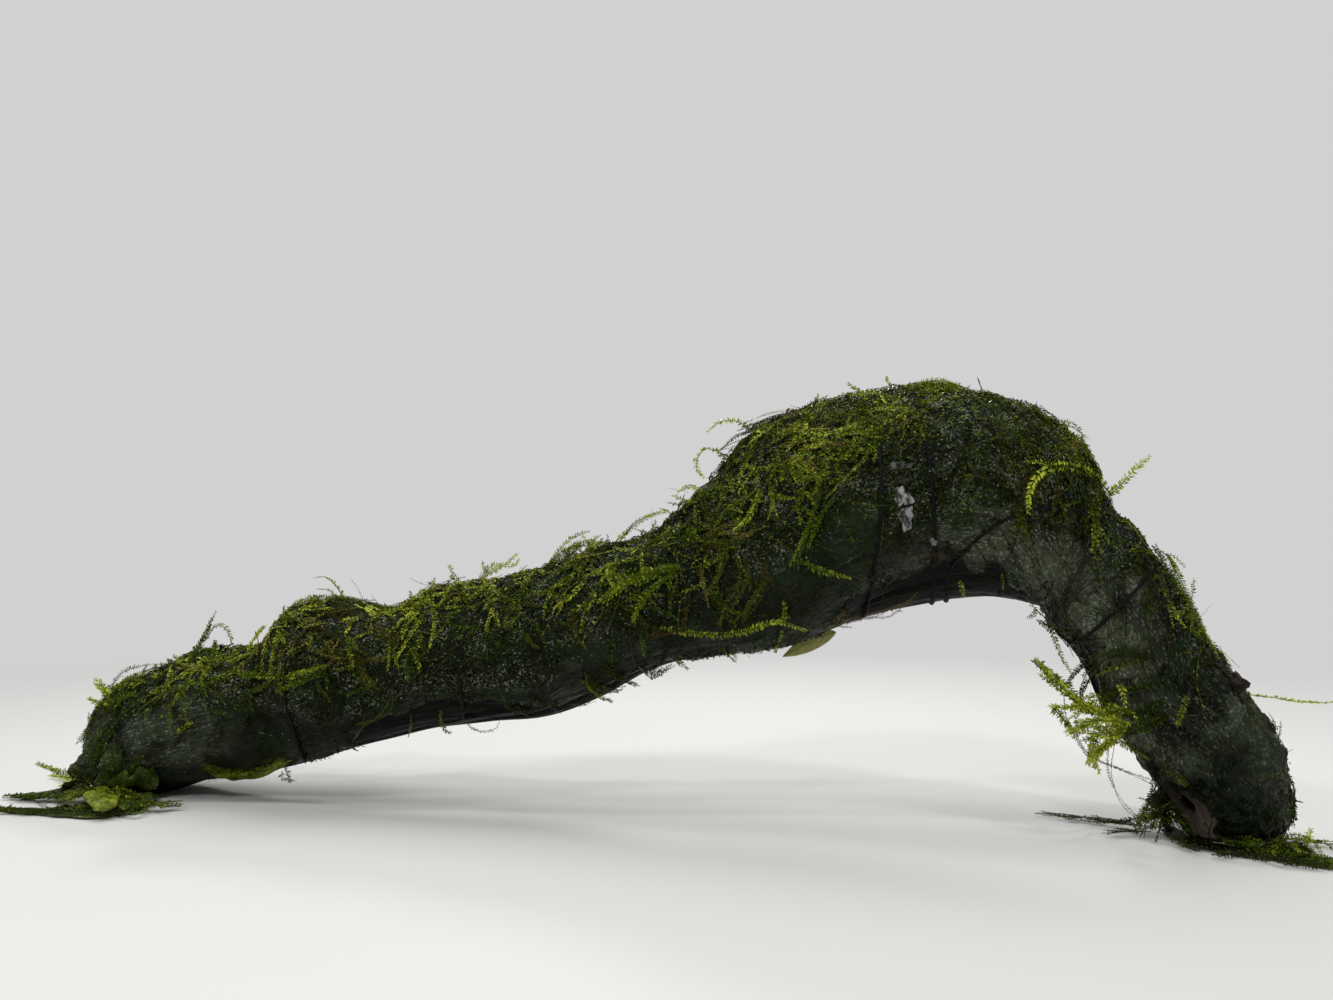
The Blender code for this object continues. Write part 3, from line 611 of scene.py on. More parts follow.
def leaf_mesh(base, ahead, up, length, width, fresh, brown):
    """Small closed leaves: from the base a keel runs to the tip, and two corners, at 0.4 of the
    length, spread by half the width and cup up. Four triangles each, coloured by place in the
    map: across by freshness, and up by brownness."""
    side = np.cross(ahead, up)
    length, width = length[:, None], width[:, None]
    belly = base + ahead * length * 0.4 + up * width * 0.3
    points = np.stack([base, belly + side * width / 2, belly - side * width / 2, base + ahead * length], 1)
    faces = np.array([(0, 1, 2), (3, 2, 1), (0, 3, 1), (0, 2, 3)]) + 4 * np.arange(len(base))[:, None, None]
    spread = np.array([(0, 0), (0.012, 0.01), (0.004, -0.01), (0.02, 0)])
    tint = np.clip(np.stack([fresh, brown], -1), 0.03, 0.97)[:, None, :] + spread
    points[..., 2] += np.maximum(GROUND_GAP - points[..., 2].min(1, keepdims=True), 0)
    return points.reshape(-1, 3), faces.reshape(-1, 3), tint.reshape(-1, 2)


GREENS = [(0.0, (0.0012, 0.0022, 0.0006)), (0.25, (0.009, 0.017, 0.001)), (0.5, (0.04, 0.07, 0.002)),
          (0.75, (0.135, 0.19, 0.005)), (1.0, (0.46, 0.52, 0.045))]
BROWNS = [(0.0, (0.006, 0.004, 0.002)), (0.5, (0.06, 0.045, 0.008)), (1.0, (0.24, 0.17, 0.05))]


def paint_leaves(tree):
    """Green by freshness, brown where dead, and pale grey as a painted highlight where a wet leaf glints."""
    chart = tree.node("UVMap", {"uv_map": "OFBake"})
    fresh = chart.node("SeparateXYZ", {}, {0: chart}, 0)
    brown = chart.node("SeparateXYZ", {}, {0: chart}, 1)
    green = fresh.node("ValToRGB", {"stops": GREENS}, {"Fac": fresh})
    dead = fresh.node("ValToRGB", {"stops": BROWNS}, {"Fac": fresh})
    base = brown.between(0.05, 0.7).mixed(green, dead)
    # Painted highlight: leaves at the glint brownness are painted pale grey.
    base = brown.between(0.8, 0.84).mixed(base, (0.34, 0.36, 0.31))
    return {"Base Color": base, "Roughness": 0.25, "Specular IOR Level": 0.15,
            "Specular Tint": (0.85, 1.0, 0.6, 1)}


def leaf_density(station, column):
    """Leaves crowd on the net, are few on the film, and fringe its borders under the arm."""
    fringe = bell(np.abs(column - OUTER), borders(station)[1] - OUTER - 0.3, 0.45) * smooth(station, 20, 16)
    share = 1.03 - film(station, column) + 0.4 * fringe * smooth(station, 3, 5)
    return share * (1 - 0.9 * smooth(station, 27, 29))


leaf_surface = surface("moss_leaves", paint_leaves)
for seed, (name, (first, last, count)) in enumerate(MAT_LEAVES.items()):
    rng = np.random.default_rng(100 + seed)
    station, column = scattered(rng, count, first, last, leaf_density)
    ahead, round_by, normal = slopes(station, column)
    bearing = rng.uniform(0, 2 * math.pi, len(station))[:, None]
    rise = rng.uniform(-0.1, 0.6, bearing.shape)
    way = unit(unit(ahead) * np.cos(bearing) + unit(round_by) * np.sin(bearing) + normal * rise)
    up = normal + 0.7 * rng.normal(size=normal.shape)
    up = unit(up - way * (up * way).sum(-1, keepdims=True))
    base = skin(station, column, carpet(station, column) + rng.uniform(-0.25, 0.2, len(station)))
    size = MAT_LEAF * rng.uniform(0.6, 1.3, len(station))
    tone = waves(rolled(station, column, 1), 12.0, 41)
    crest = bell(column, 6.5, 3.2) * smooth(station, 26, 22)
    right = bell(station, 19, 2.8) * bell(column, 8.6, 2.8)
    fresh = 0.08 + 0.16 * crest + 0.3 * right + 0.09 * tone + 0.13 * rng.normal(size=len(station))
    # More leaves are painted as glints on the hump's right and the leg, and fewer on the crest.
    wet = 0.05 * smooth(station, 15.5, 18)
    glint = (0.09 + wet + 0.08 * np.clip(-tone, -1, 1)) * (1 - 0.8 * bell(column, OUTER, 2.4))
    glinting = rng.random(len(station)) < glint
    size = np.where(glinting, 0.5 * size, size)
    brown = np.where(glinting, GLINT, rng.uniform(0, 0.45, len(station)) ** 1.5)
    points, faces, chart = leaf_mesh(base, way, up, size, MAT_LEAF_WIDTH / MAT_LEAF * size, fresh, brown)
    make_piece(name, points, [faces], leaf_surface, chart[faces.ravel()], flat=True)


# Living moss. Fronds of stems with two ranks of overlapping leaves, a couple of millimetres
# wide, that creep over the carpet from its crown, hang down both sides and stand up from it.
# Bare brown stems lie among them.

STEM_RADIUS = 0.17
FRONT_LINE = -29.0
LEAF_SPACING = 0.52
SHOOT_RISE = (2, 5)
SHOOT_LEAN = 0.6

# Fresh spots and dull spots: station, column, and how much fresher or duller they are. After
# them, how far every spot of a kind reaches along and round the wood.
FRESH_SPOTS = [(1.9, 7, 0.45), (3.1, 6.5, -0.35), (4.2, 7, 0.45), (6.3, 7, 0.3), (8, 7, 0.42),
               (9.8, 7, 0.35), (12, 8, 0.45), (14.5, 9, 0.35), (16.3, 8, 0.38), (18, 6.5, 0.25),
               (21, 7, 0.3), (26.5, 6.5, 0.4), (27.5, 11, 0.25)]
DULL_SPOTS = [(5, 10, 0.2), (9, 10, 0.25), (18, 10, 0.15), (22, 10, 0.1), (25, 9, 0.15), (29, 9, 0.1)]
FRESH_REACH = (1.1, 1.5)
DULL_REACH = (1.8, 1.6)


def freshness(station, column):
    """How fresh the moss is at a place: best on the crest, with bright and dull spots."""
    spots = [(at, round_by, *FRESH_REACH, rise) for at, round_by, rise in FRESH_SPOTS]
    spots += [(at, round_by, *DULL_REACH, -fall) for at, round_by, fall in DULL_SPOTS]
    value = 0.2 + 0.22 * bell(column, OUTER, 2.4) + bells(spots, station, column)
    return value + ripples([(0.09, 1, 16, 51)], station, column)


def steered(station, column, heading, length, curl, points):
    """Tracks over the moss, as stations, columns and headings: equal steps over the surface,
    each turned on by its share of the curl. A heading of 0 runs along the wood, and a quarter
    turn goes round it towards the viewer."""
    step = length / (points - 1)
    track = [(station, column, heading)]
    for _ in range(points - 1):
        ahead, round_by, _ = slopes(station, column)
        station = station + np.cos(heading) * step / np.linalg.norm(ahead, axis=-1)
        station = np.clip(station, -0.97, MAT_END)
        column = column + np.sin(heading) * step / np.linalg.norm(round_by, axis=-1)
        heading = heading + curl / (points - 1)
        track.append((station, column, heading))
    return np.moveaxis(np.array(track), 0, -1)


def frond_mesh(rng, spine, up, size, fresh, brown, spacing=LEAF_SPACING, breadth=0.46, open_angle=58):
    """Fronds along spines: a three-sided stem that thins to its tip, and pairs of leaves in two
    ranks, whose angle to the stem closes from the base to the tip."""
    fronds, count = spine.shape[:2]
    steps = np.diff(spine, axis=1)
    length = np.linalg.norm(steps, axis=-1).sum(1)
    tangent = unit(np.concatenate([steps[:, :1], steps[:, 1:] + steps[:, :-1], steps[:, -1:]], 1))
    flat = unit(up - tangent * (up * tangent).sum(-1, keepdims=True))
    side = np.cross(tangent, flat)

    angle = np.arange(3) * 2 * math.pi / 3
    taper = STEM_RADIUS * (1 - 0.6 * np.linspace(0, 1, count))
    radius = (taper * (size / 1.2)[:, None])[..., None, None]
    rings = spine[:, :, None] + radius * (np.cos(angle)[:, None] * flat[:, :, None]
                                          + np.sin(angle)[:, None] * side[:, :, None])
    quads, start, end = ring_faces(count, 3)
    offset = 3 * count * np.arange(fronds)[:, None, None]
    stem_quads = (quads + offset).reshape(-1, 4)
    stem_caps = np.concatenate([(start + offset).reshape(-1, 3), (end + offset).reshape(-1, 3)])
    row_shift = np.stack(np.broadcast_arrays(np.linspace(0, 0.03, count)[:, None], np.arange(3) * 0.008), -1)
    stem_tint = np.clip(np.stack([fresh * 0.75, brown + 0.2], -1), 0.03, 0.7)[:, None, None, :] + row_shift

    pairs = np.maximum((length / spacing).astype(int), 3)
    owner = np.repeat(np.arange(fronds), 2 * pairs)
    order = np.arange(len(owner)) - np.repeat(np.cumsum(2 * pairs) - 2 * pairs, 2 * pairs)
    share = np.clip((order + rng.uniform(0.2, 1.2, len(owner))) / (2 * pairs[owner]), 0, 1)
    place = share * (count - 1)
    row = np.minimum(place.astype(int), count - 2)
    part = (place - row)[:, None]

    def on_stem(values):
        return values[owner, row] * (1 - part) + values[owner, row + 1] * part

    rank = np.where(order % 2 == 0, 1, -1)
    angle = np.radians(open_angle - 28 * share**2 + 9 * rng.normal(size=len(owner)))[:, None]
    ahead, above = unit(on_stem(tangent)), unit(on_stem(flat))
    beside = np.cross(ahead, above) * rank[:, None]
    rise = rng.uniform(-0.15, 0.45, (len(owner), 1))
    way = unit(ahead * np.cos(angle) + beside * np.sin(angle) + above * rise)
    face = above + 0.45 * rng.normal(size=above.shape) + 0.25 * beside
    face = unit(face - way * (face * way).sum(-1, keepdims=True))
    leaf_length = size[owner] * rng.uniform(0.75, 1.25, len(owner)) * (0.55 + 0.45 * smooth(share, 0, 0.12))
    leaf_length = leaf_length * (1 - 0.45 * share**4)
    leaf_fresh = fresh[owner] + 0.1 * rng.normal(size=len(owner)) + 0.22 * (share - 0.5)
    leaf_brown = brown[owner] + 0.08 * rng.random(len(owner))
    points, faces, tint = leaf_mesh(on_stem(spine), way, face, leaf_length, leaf_length * breadth,
                                    leaf_fresh, np.minimum(leaf_brown, 0.72))
    faces = faces + 3 * count * fronds
    return (np.concatenate([rings.reshape(-1, 3), points]), stem_quads,
            np.concatenate([stem_caps, faces]), np.concatenate([stem_tint.reshape(-1, 2), tint]))


def gathered(batches):
    """Several fronds' meshes in one: the later ones' faces count on from the earlier points."""
    points, quads, triangles, tint = [], [], [], []
    for batch in batches:
        start = sum(len(group) for group in points)
        points.append(batch[0])
        quads.append(batch[1] + start)
        triangles.append(batch[2] + start)
        tint.append(batch[3])
    faces = [np.concatenate(quads), np.concatenate(triangles)]
    chart = np.concatenate(tint)
    return np.concatenate(points), faces, chart[np.concatenate([group.ravel() for group in faces])]


def moss_piece(name, slot, batches, *nodes):
    """Piece of moss from batches of fronds, standing for the nodes given. What strays past the
    front line of the feet is drawn in to a third."""
    points, faces, chart = gathered(batches)
    points[:, 1] = np.maximum(points[:, 1], FRONT_LINE + (points[:, 1] - FRONT_LINE) / 3)
    piece = make_piece(name, points, faces, leaf_surface, chart, flat=True)
    if nodes:
        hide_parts(*nodes)


def creeping(rng, count, first, last, density, reach, hover, points=9, with_side=0.35, dead=0.12,
             spacing=LEAF_SPACING):
    """Fronds that creep over the moss: from scattered roots each takes a way of its own that the
    slope pulls down the side, hovers a little over the carpet and lifts its tip. A share of
    them carries a side frond."""
    station, column = scattered(rng, count, first, last, density)
    count = len(station)
    spin = rng.uniform(0, 2 * math.pi, count)
    drift = waves(rolled(station, column, 1), 30, 61)
    pull = np.clip((column - 6) / 2.2, -1, 1)
    heading = np.arctan2(0.9 * np.sin(spin) + 0.75 * pull, np.cos(spin) + 0.6 * drift)
    length = rng.uniform(*reach, count)
    curl = rng.normal(size=count) * 0.9
    track = steered(station, column, heading, length, curl, points)
    share = np.linspace(0, 1, points)
    low = rng.uniform(*hover, (count, 1))
    tip = rng.uniform(0, 1.1, (count, 1)) ** 2 * share**2.5

    def spines(stations, columns, start):
        height = -0.5 * (1 - start) + (low[:len(stations)] + 0.5 * (1 - start)) * (1 - np.exp(-5 * share))
        height = height + tip[:len(stations)]
        ground = carpet(stations, columns)
        level = (ground + np.roll(ground, 1, 1) + np.roll(ground, -1, 1)) / 3
        level[:, 0], level[:, -1] = ground[:, 0], ground[:, -1]
        return skin(stations, columns, np.maximum(level, -0.2) + height)

    _, _, normal = slopes(track[0], track[1])
    tilt = normal + 0.45 * rng.normal(size=(count, 1, 3))
    size = rng.uniform(0.7, 1.1, count)
    fresh = freshness(station, column) + 0.12 * rng.normal(size=count)
    brown = np.where(rng.random(count) < dead, rng.uniform(0.3, 0.7, count), rng.uniform(0, 0.15, count))
    batches = [frond_mesh(rng, spines(track[0], track[1], 0), tilt, size, fresh, brown, spacing)]
    sides = rng.choice(count, int(count * with_side), replace=False)
    if len(sides):
        node = rng.integers(2, points - 3, len(sides))
        turned = track[2][sides, node] + rng.choice([-1, 1], len(sides)) * rng.uniform(0.5, 1.0, len(sides))
        branch = steered(track[0][sides, node], track[1][sides, node], turned, length[sides] * 0.45,
                         curl[sides], points)
        low, tip = low[sides], tip[sides]
        _, _, normal = slopes(branch[0], branch[1])
        tilt = normal + 0.3 * rng.normal(size=(len(sides), 1, 3))
        batches.append(frond_mesh(rng, spines(branch[0], branch[1], 1), tilt, size[sides] * 0.9,
                                  fresh[sides] + 0.05, brown[sides]))
    return batches


def crown_density(station, column):
    """More fronds on the crest and the fresh places, few on the film."""
    patches = 1 + ripples([(0.55, 1, 18, 62)], station, column)
    return np.clip(freshness(station, column) - 0.08, 0.03, 1) * patches * (1 - 0.93 * film(station, column))


def standing(rng, count, first, last):
    """Short shoots along the crest that stand up from it and bend over."""
    station = rng.uniform(first, last, count)
    column = OUTER + rng.normal(size=count) * 1.3
    heading = rng.uniform(0, 2 * math.pi, count)
    length = rng.uniform(6, 13, count)
    track = steered(station, column, heading, length * SHOOT_LEAN, rng.normal(size=count), 9)
    share = np.linspace(0, 1, 9)
    rise = rng.uniform(*SHOOT_RISE, (count, 1)) * share**1.2
    ground = carpet(track[0][:, :1], track[1][:, :1])
    spine = skin(track[0], track[1], ground - 0.4 + rise)
    up = rng.normal(size=(count, 1, 3)) + slopes(track[0], track[1])[2]
    fresh = freshness(station, column) + 0.22 + 0.1 * rng.normal(size=count)
    return [frond_mesh(rng, spine, up, rng.uniform(0.8, 1.2, count), fresh, rng.uniform(0, 0.2, count))]


def stem_density(station, column):
    """Bare stems lie nearly everywhere, most of them on the hump and the leg."""
    return (0.35 + 0.65 * smooth(station, 11, 14)) * (1 - 0.5 * film(station, column))



# First and last station, fronds, bare stems and seed of each stretch.
LIVING = {"moss_fronds_left": (-0.9, 5.2, 280, 80, 31), "moss_fronds_middle": (5.2, 9.8, 290, 90, 32),
          "moss_fronds_rise": (9.8, SWELL, 300, 110, 33), "moss_fronds_hump": (SWELL, 17.6, 350, 220, 34),
          "moss_fronds_crest": (17.6, FORK, 350, 220, 35),
          "moss_fronds_leg": (FORK, MAT_END - 0.5, 130, 150, 36)}
for name, (first, last, count, stems, seed) in LIVING.items():
    rng = np.random.default_rng(seed)
    batches = creeping(rng, count, first, last, crown_density, (5, 14), (0.0, 1.1), points=8)
    batches += creeping(rng, stems, first, last, stem_density, (9, 22), (0.1, 0.7), with_side=0, dead=0.6,
                        spacing=3.5)
    batches += standing(rng, count // 40, first, last)
    moss_piece(name, "moss_mat", batches)


# Single fronds that can be told apart. Each is placed by where the photograph shows it: on the
# moss or on the ground, whichever a look from the camera meets first. The numbers with each
# are freshness, brownness, leaf length, how many lie side by side, and its course in pixels.

CAMERA_PLACE = np.array([49.12, -243.97, 54.0])
CAMERA_BEARING = math.radians(9.66)
CAMERA_PITCH = math.radians(5.0)
SENSOR_WIDTH = 36.0
FOCAL_LENGTH = 27.0
PICTURE = (1333, 1000)
UPRIGHT = np.array([0, 0, 1.0])
FROND_CLEARANCE = 0.6

# Pixels by which fronds side by side are strewn, pixels between the points of a course, and
# how much each further frond is lifted in millimetres, thinned and dulled.
STREWN = 3.2
FROND_STEP = 5
COPY_LIFT = 0.25
COPY_THINNER = 0.1
COPY_DULLER = 0.08

# Spacing of a frond's leaf pairs, a leaf's breadth for its length, and its angle to the stem.
OPEN_FORM = (0.55, 0.42, 68)
FLAT_FORM = (0.5, 0.5, 66)
SINGLE_FRONDS = {
    "end": [
        (0.9, 0, 1.3, 2, [(114, 702), (104, 690), (94, 683)]),
        (0.92, 0, 1.3, 2, [(110, 708), (99, 702), (88, 700)]),
        (0.75, 0.1, 1.0, 3, [(112, 690), (132, 676), (155, 668)]),
        (0.8, 0, 1.1, 3, [(102, 700), (114, 690), (130, 685), (146, 682)]),
        (0.7, 0, 1.0, 3, [(106, 712), (118, 700), (136, 692)]),
        (0.85, 0, 1.2, 1, [(171, 688), (170, 678), (171, 667)]),
        (0.6, 0.1, 1.1, 2, [(185, 668), (200, 646), (212, 618)]),
        (0.7, 0, 1.0, 1, [(205, 640), (217, 625), (228, 631), (233, 648)]),
        (0.75, 0, 1.1, 3, [(216, 640), (214, 658), (203, 676)]),
        (0.55, 0.1, 1.0, 3, [(196, 652), (190, 664), (184, 676)]),
        (0.9, 0, 1.1, 2, [(248, 652), (253, 641), (258, 634), (264, 626)]),
        (0.5, 0, 0.7, 1, [(93, 742), (89, 728), (89, 713)]),
        (0.8, 0, 0.9, 1, [(176, 733), (184, 728), (192, 722)]),
    ],
    "clump": [
        (0.82, 0, 1.15, 1, [(325, 596), (303, 600), (285, 616), (275, 645), (270, 674)]),
        (0.8, 0, 1.2, 1, [(346, 602), (336, 586), (325, 577), (314, 578)]),
        (0.6, 0.4, 0.8, 1, [(342, 602), (330, 591), (317, 589)]),
        (0.7, 0.1, 0.8, 1, [(338, 603), (326, 596), (312, 597)]),
        (0.3, 0.72, 0.3, 1, [(364, 602), (358, 589), (350, 578)]),
        (0.3, 0.72, 0.3, 1, [(378, 604), (374, 598), (371, 594)]),
        (0.72, 0, 1.1, 2, [(231, 671), (260, 676), (290, 675), (320, 667)]),
        (0.55, 0, 1.0, 3, [(325, 668), (300, 682), (276, 692)]),
        (0.5, 0.1, 1.0, 2, [(240, 700), (255, 690), (275, 684)]),
        (0.5, 0.4, 1.0, 3, [(352, 655), (362, 672), (370, 690)]),
        (0.5, 0.5, 0.9, 3, [(322, 652), (350, 660), (378, 659), (398, 655)]),
        (0.7, 0.2, 0.4, 2, [(393, 690), (387, 705), (375, 719), (357, 724)]),
        (0.55, 0.5, 0.55, 8, [(312, 608), (340, 618), (370, 628), (398, 640)]),
        (0.5, 0.4, 0.55, 8, [(305, 622), (330, 634), (352, 648), (372, 654)]),
        (0.6, 0.5, 0.55, 7, [(335, 606), (362, 618), (385, 634), (400, 650)]),
        (0.45, 0.3, 0.55, 6, [(322, 600), (318, 620), (325, 640), (345, 655)]),
        (0.62, 0.2, 0.7, 5, [(330, 600), (365, 602), (395, 608), (420, 606)]),
        (0.7, 0, 0.9, 1, [(416, 608), (413, 600), (410, 592)]),
        (0.75, 0, 1.0, 1, [(424, 606), (422, 599), (420, 590)]),
        (0.7, 0, 0.9, 1, [(421, 632), (420, 640), (418, 648)]),
        (0.45, 0.6, 0.45, 1, [(466, 577), (450, 580), (433, 586), (420, 583), (410, 578)]),
        (0.75, 0, 0.9, 1, [(454, 580), (452, 573), (449, 565)]),
        (0.95, 0, 1.15, 2, [(478, 582), (495, 570), (506, 564), (517, 554)]),
        (0.8, 0, 0.8, 1, [(488, 576), (484, 568), (482, 560)]),
        (0.6, 0.1, 0.55, 1, [(462, 714), (470, 727), (484, 732), (497, 727), (501, 712)]),
        (0.7, 0, 0.9, 1, [(411, 714), (410, 726), (408, 737)]),
        (0.7, 0, 0.9, 1, [(440, 710), (442, 723), (444, 730), (451, 733)]),
    ],
    "rise": [
        (0.85, 0, 1.0, 1, [(548, 566), (562, 547), (575, 536), (590, 531)]),
        (0.8, 0, 1.0, 2, [(586, 550), (592, 541), (601, 535)]),
        (0.75, 0, 1.0, 4, [(545, 570), (562, 554), (580, 543)]),
        (0.82, 0, 1.0, 4, [(560, 566), (576, 549), (591, 540)]),
        (0.75, 0, 1.0, 3, [(575, 562), (590, 549), (603, 541)]),
        (0.9, 0, 0.9, 1, [(592, 550), (588, 542), (583, 536)]),
        (0.3, 0.72, 0.6, 1, [(608, 548), (608, 541), (607, 534)]),
        (0.9, 0, 0.95, 2, [(616, 541), (634, 526), (650, 516), (666, 512)]),
        (0.35, 0.72, 0.25, 1, [(652, 532), (652, 520), (651, 507)]),
        (0.35, 0.72, 0.25, 1, [(521, 584), (519, 574), (521, 566)]),
        (0.75, 0, 1.1, 3, [(680, 566), (650, 572), (620, 585), (598, 602)]),
        (0.7, 0, 1.0, 3, [(672, 572), (652, 590), (640, 606), (632, 622)]),
        (0.7, 0, 1.0, 3, [(668, 570), (640, 578), (612, 578), (590, 570)]),
        (0.6, 0.6, 0.9, 1, [(522, 603), (535, 596), (551, 591)]),
        (0.6, 0.5, 0.9, 1, [(500, 610), (520, 604), (540, 606)]),
        (0.75, 0, 1.0, 2, [(584, 680), (594, 692), (604, 698), (612, 702)]),
        (0.6, 0.4, 0.4, 1, [(560, 700), (577, 706), (596, 701)]),
        (0.5, 0.3, 1.0, 4, [(584, 672), (592, 684), (606, 692), (622, 690)]),
        (0.45, 0.35, 1.0, 4, [(600, 668), (618, 680), (636, 684)]),
        (0.4, 0.2, 1.0, 3, [(505, 700), (518, 708), (532, 712)]),
        (0.35, 0.2, 1.0, 3, [(530, 700), (545, 706), (560, 704)]),
        (0.5, 0.3, 0.9, 3, [(640, 668), (655, 674), (672, 664)]),
        (0.75, 0, 0.9, 1, [(674, 656), (680, 663), (688, 669)]),
        (0.75, 0, 0.9, 2, [(722, 648), (728, 655), (736, 662)]),
        (0.8, 0, 1.1, 1, [(660, 627), (690, 633), (720, 635), (746, 631), (775, 622), (806, 631)]),
        (0.75, 0, 1.0, 1, [(740, 634), (762, 627), (790, 616)]),
        (0.75, 0, 0.9, 1, [(783, 622), (785, 612), (784, 602)]),
        (0.75, 0, 1.0, 1, [(782, 630), (779, 642), (775, 652)]),
    ],
    "hump": [
        (0.85, 0, 1.1, 1, [(752, 430), (736, 421), (720, 422), (707, 432)]),
        (0.7, 0.7, 0.7, 4, [(750, 432), (733, 438), (718, 453)]),
        (0.6, 0.4, 0.6, 2, [(746, 440), (735, 450), (728, 464)]),
        (0.85, 0.1, 1.25, 1, [(730, 463), (718, 452), (705, 449), (697, 458), (697, 470), (704, 478)]),
        (0.4, 0.72, 0.25, 1, [(692, 493), (677, 490), (663, 487)]),
        (0.92, 0, 0.9, 2, [(702, 492), (690, 487), (677, 492)]),
        (0.85, 0, 0.9, 2, [(696, 502), (686, 500), (675, 499)]),
        (0.7, 0.5, 0.7, 2, [(688, 518), (712, 528), (745, 534)]),
        (0.7, 0.45, 0.7, 2, [(700, 540), (725, 527), (752, 519)]),
        (0.65, 0.5, 0.7, 2, [(706, 548), (732, 541), (762, 528)]),
        (0.7, 0.05, 0.8, 4, [(818, 488), (812, 515), (800, 545), (790, 566)]),
        (0.65, 0, 0.8, 3, [(830, 500), (818, 525), (806, 552)]),
        (0.65, 0.1, 0.75, 1, [(762, 449), (785, 436), (816, 416)]),
        (0.7, 0.1, 0.75, 1, [(812, 412), (845, 415), (866, 421), (872, 440), (864, 460), (845, 478),
                             (826, 498)]),
        (0.6, 0.72, 0.4, 1, [(742, 424), (775, 412), (812, 411), (822, 420)]),
        (0.95, 0.7, 0.2, 1, [(884, 518), (882, 535), (880, 554)]),
        (1.0, 0.7, 0.6, 5, [(846, 623), (868, 616), (886, 611), (904, 603), (918, 600)]),
        (0.6, 0.65, 0.35, 4, [(755, 432), (790, 418), (830, 409), (870, 402)]),
        (0.7, 0.6, 0.8, 8, [(745, 431), (768, 420), (800, 413), (830, 406)]),
        (0.55, 0.6, 0.4, 4, [(748, 442), (780, 432), (815, 427), (850, 419)]),
        (0.3, 0.7, 0.0, 1, [(917, 382), (924, 370), (933, 361)]),
        (0.85, 0, 0.95, 4, [(900, 391), (922, 382), (945, 381), (968, 391)]),
        (0.8, 0, 0.95, 3, [(915, 397), (938, 388), (962, 390), (985, 400)]),
        (0.6, 0.2, 0.8, 4, [(700, 500), (722, 560), (705, 600)]),
        (0.55, 0.3, 0.9, 3, [(770, 575), (752, 600), (742, 622)]),
        (0.5, 0.3, 0.9, 3, [(745, 580), (728, 600), (720, 624)]),
        (0.7, 0, 1.0, 2, [(800, 560), (822, 572), (850, 578)]),
        (0.8, 0, 0.8, 1, [(961, 580), (962, 590), (965, 597)]),
        (0.75, 0, 0.8, 1, [(1001, 574), (1003, 581), (1004, 589)]),
    ],
    "shoulder": [
        (0.7, 0, 0.9, 2, [(1060, 424), (1074, 428), (1087, 438)]),
        (0.7, 0, 0.9, 2, [(1064, 432), (1077, 438), (1088, 449)]),
        (0.45, 0.2, 0.4, 1, [(1082, 444), (1092, 460), (1100, 482)]),
        (0.95, 0, 1.35, 1, [(1112, 496), (1097, 479), (1077, 468), (1055, 467), (1038, 475), (1030, 492),
                            (1028, 513)]),
        (0.9, 0, 1.0, 1, [(1060, 468), (1036, 462), (1015, 465)]),
        (0.92, 0, 1.25, 1, [(1106, 498), (1120, 486), (1134, 470), (1150, 456)]),
        (0.42, 0.1, 0.7, 3, [(1010, 405), (1035, 420), (1062, 440), (1078, 462)]),
        (0.42, 0.1, 0.7, 3, [(985, 415), (1010, 430), (1040, 452)]),
    ],
    "leg": [
        (0.8, 0, 0.9, 2, [(1146, 550), (1160, 551), (1172, 560), (1181, 574)]),
        (0.75, 0, 0.7, 1, [(1160, 556), (1174, 556), (1185, 568)]),
        (0.55, 0, 0.7, 1, [(1191, 602), (1193, 590), (1194, 579)]),
        (0.6, 0.72, 0.2, 1, [(1199, 618), (1206, 611), (1213, 604)]),
        (0.75, 0, 0.9, 2, [(1168, 556), (1182, 582), (1195, 612), (1209, 640), (1218, 657)]),
        (0.6, 0, 0.8, 3, [(1152, 545), (1170, 572), (1187, 604), (1203, 640)]),
        (0.85, 0, 1.0, 1, [(1034, 608), (1046, 620), (1054, 638), (1061, 656), (1071, 673)]),
        (0.8, 0, 0.8, 2, [(1036, 610), (1032, 616), (1027, 617)]),
        (0.6, 0, 0.8, 2, [(1040, 620), (1055, 629), (1074, 633)]),
        (0.62, 0.1, 1.0, 1, [(1147, 660), (1130, 664), (1113, 668), (1098, 676)]),
        (0.5, 0, 1.0, 2, [(1098, 660), (1082, 668), (1066, 685)]),
        (0.5, 0, 1.0, 2, [(1100, 664), (1087, 682), (1079, 702)]),
        (0.88, 0, 1.45, 2, [(1034, 659), (1050, 674), (1066, 691), (1083, 707)]),
        (0.85, 0, 1.3, 2, [(1052, 707), (1062, 718), (1073, 733)]),
        (0.92, 0, 1.2, 2, [(1112, 712), (1092, 712), (1073, 706)]),
        (0.95, 0, 1.2, 2, [(1115, 718), (1095, 722), (1072, 738)]),
        (0.92, 0, 1.2, 2, [(1118, 722), (1100, 732), (1085, 742)]),
        (0.9, 0, 1.1, 2, [(1110, 700), (1096, 695), (1082, 700)]),
        (0.95, 0, 1.4, 2, [(1098, 736), (1093, 750), (1088, 765)]),
        (0.88, 0, 1.0, 2, [(1104, 734), (1125, 746), (1149, 760)]),
        (0.45, 0.25, 0.5, 1, [(1064, 696), (1066, 716), (1075, 737), (1090, 757), (1120, 769), (1160, 788)]),
        (0.65, 0.1, 0.45, 1, [(1109, 744), (1108, 770), (1118, 795), (1136, 816)]),
        (0.5, 0.2, 0.8, 1, [(1157, 800), (1148, 800), (1138, 798)]),
        (0.45, 0.05, 1.0, 4, [(1160, 680), (1130, 690), (1104, 696)]),
        (0.45, 0.05, 1.0, 4, [(1165, 700), (1140, 712), (1112, 716)]),
        (0.5, 0.05, 1.0, 4, [(1168, 716), (1145, 730), (1124, 734)]),
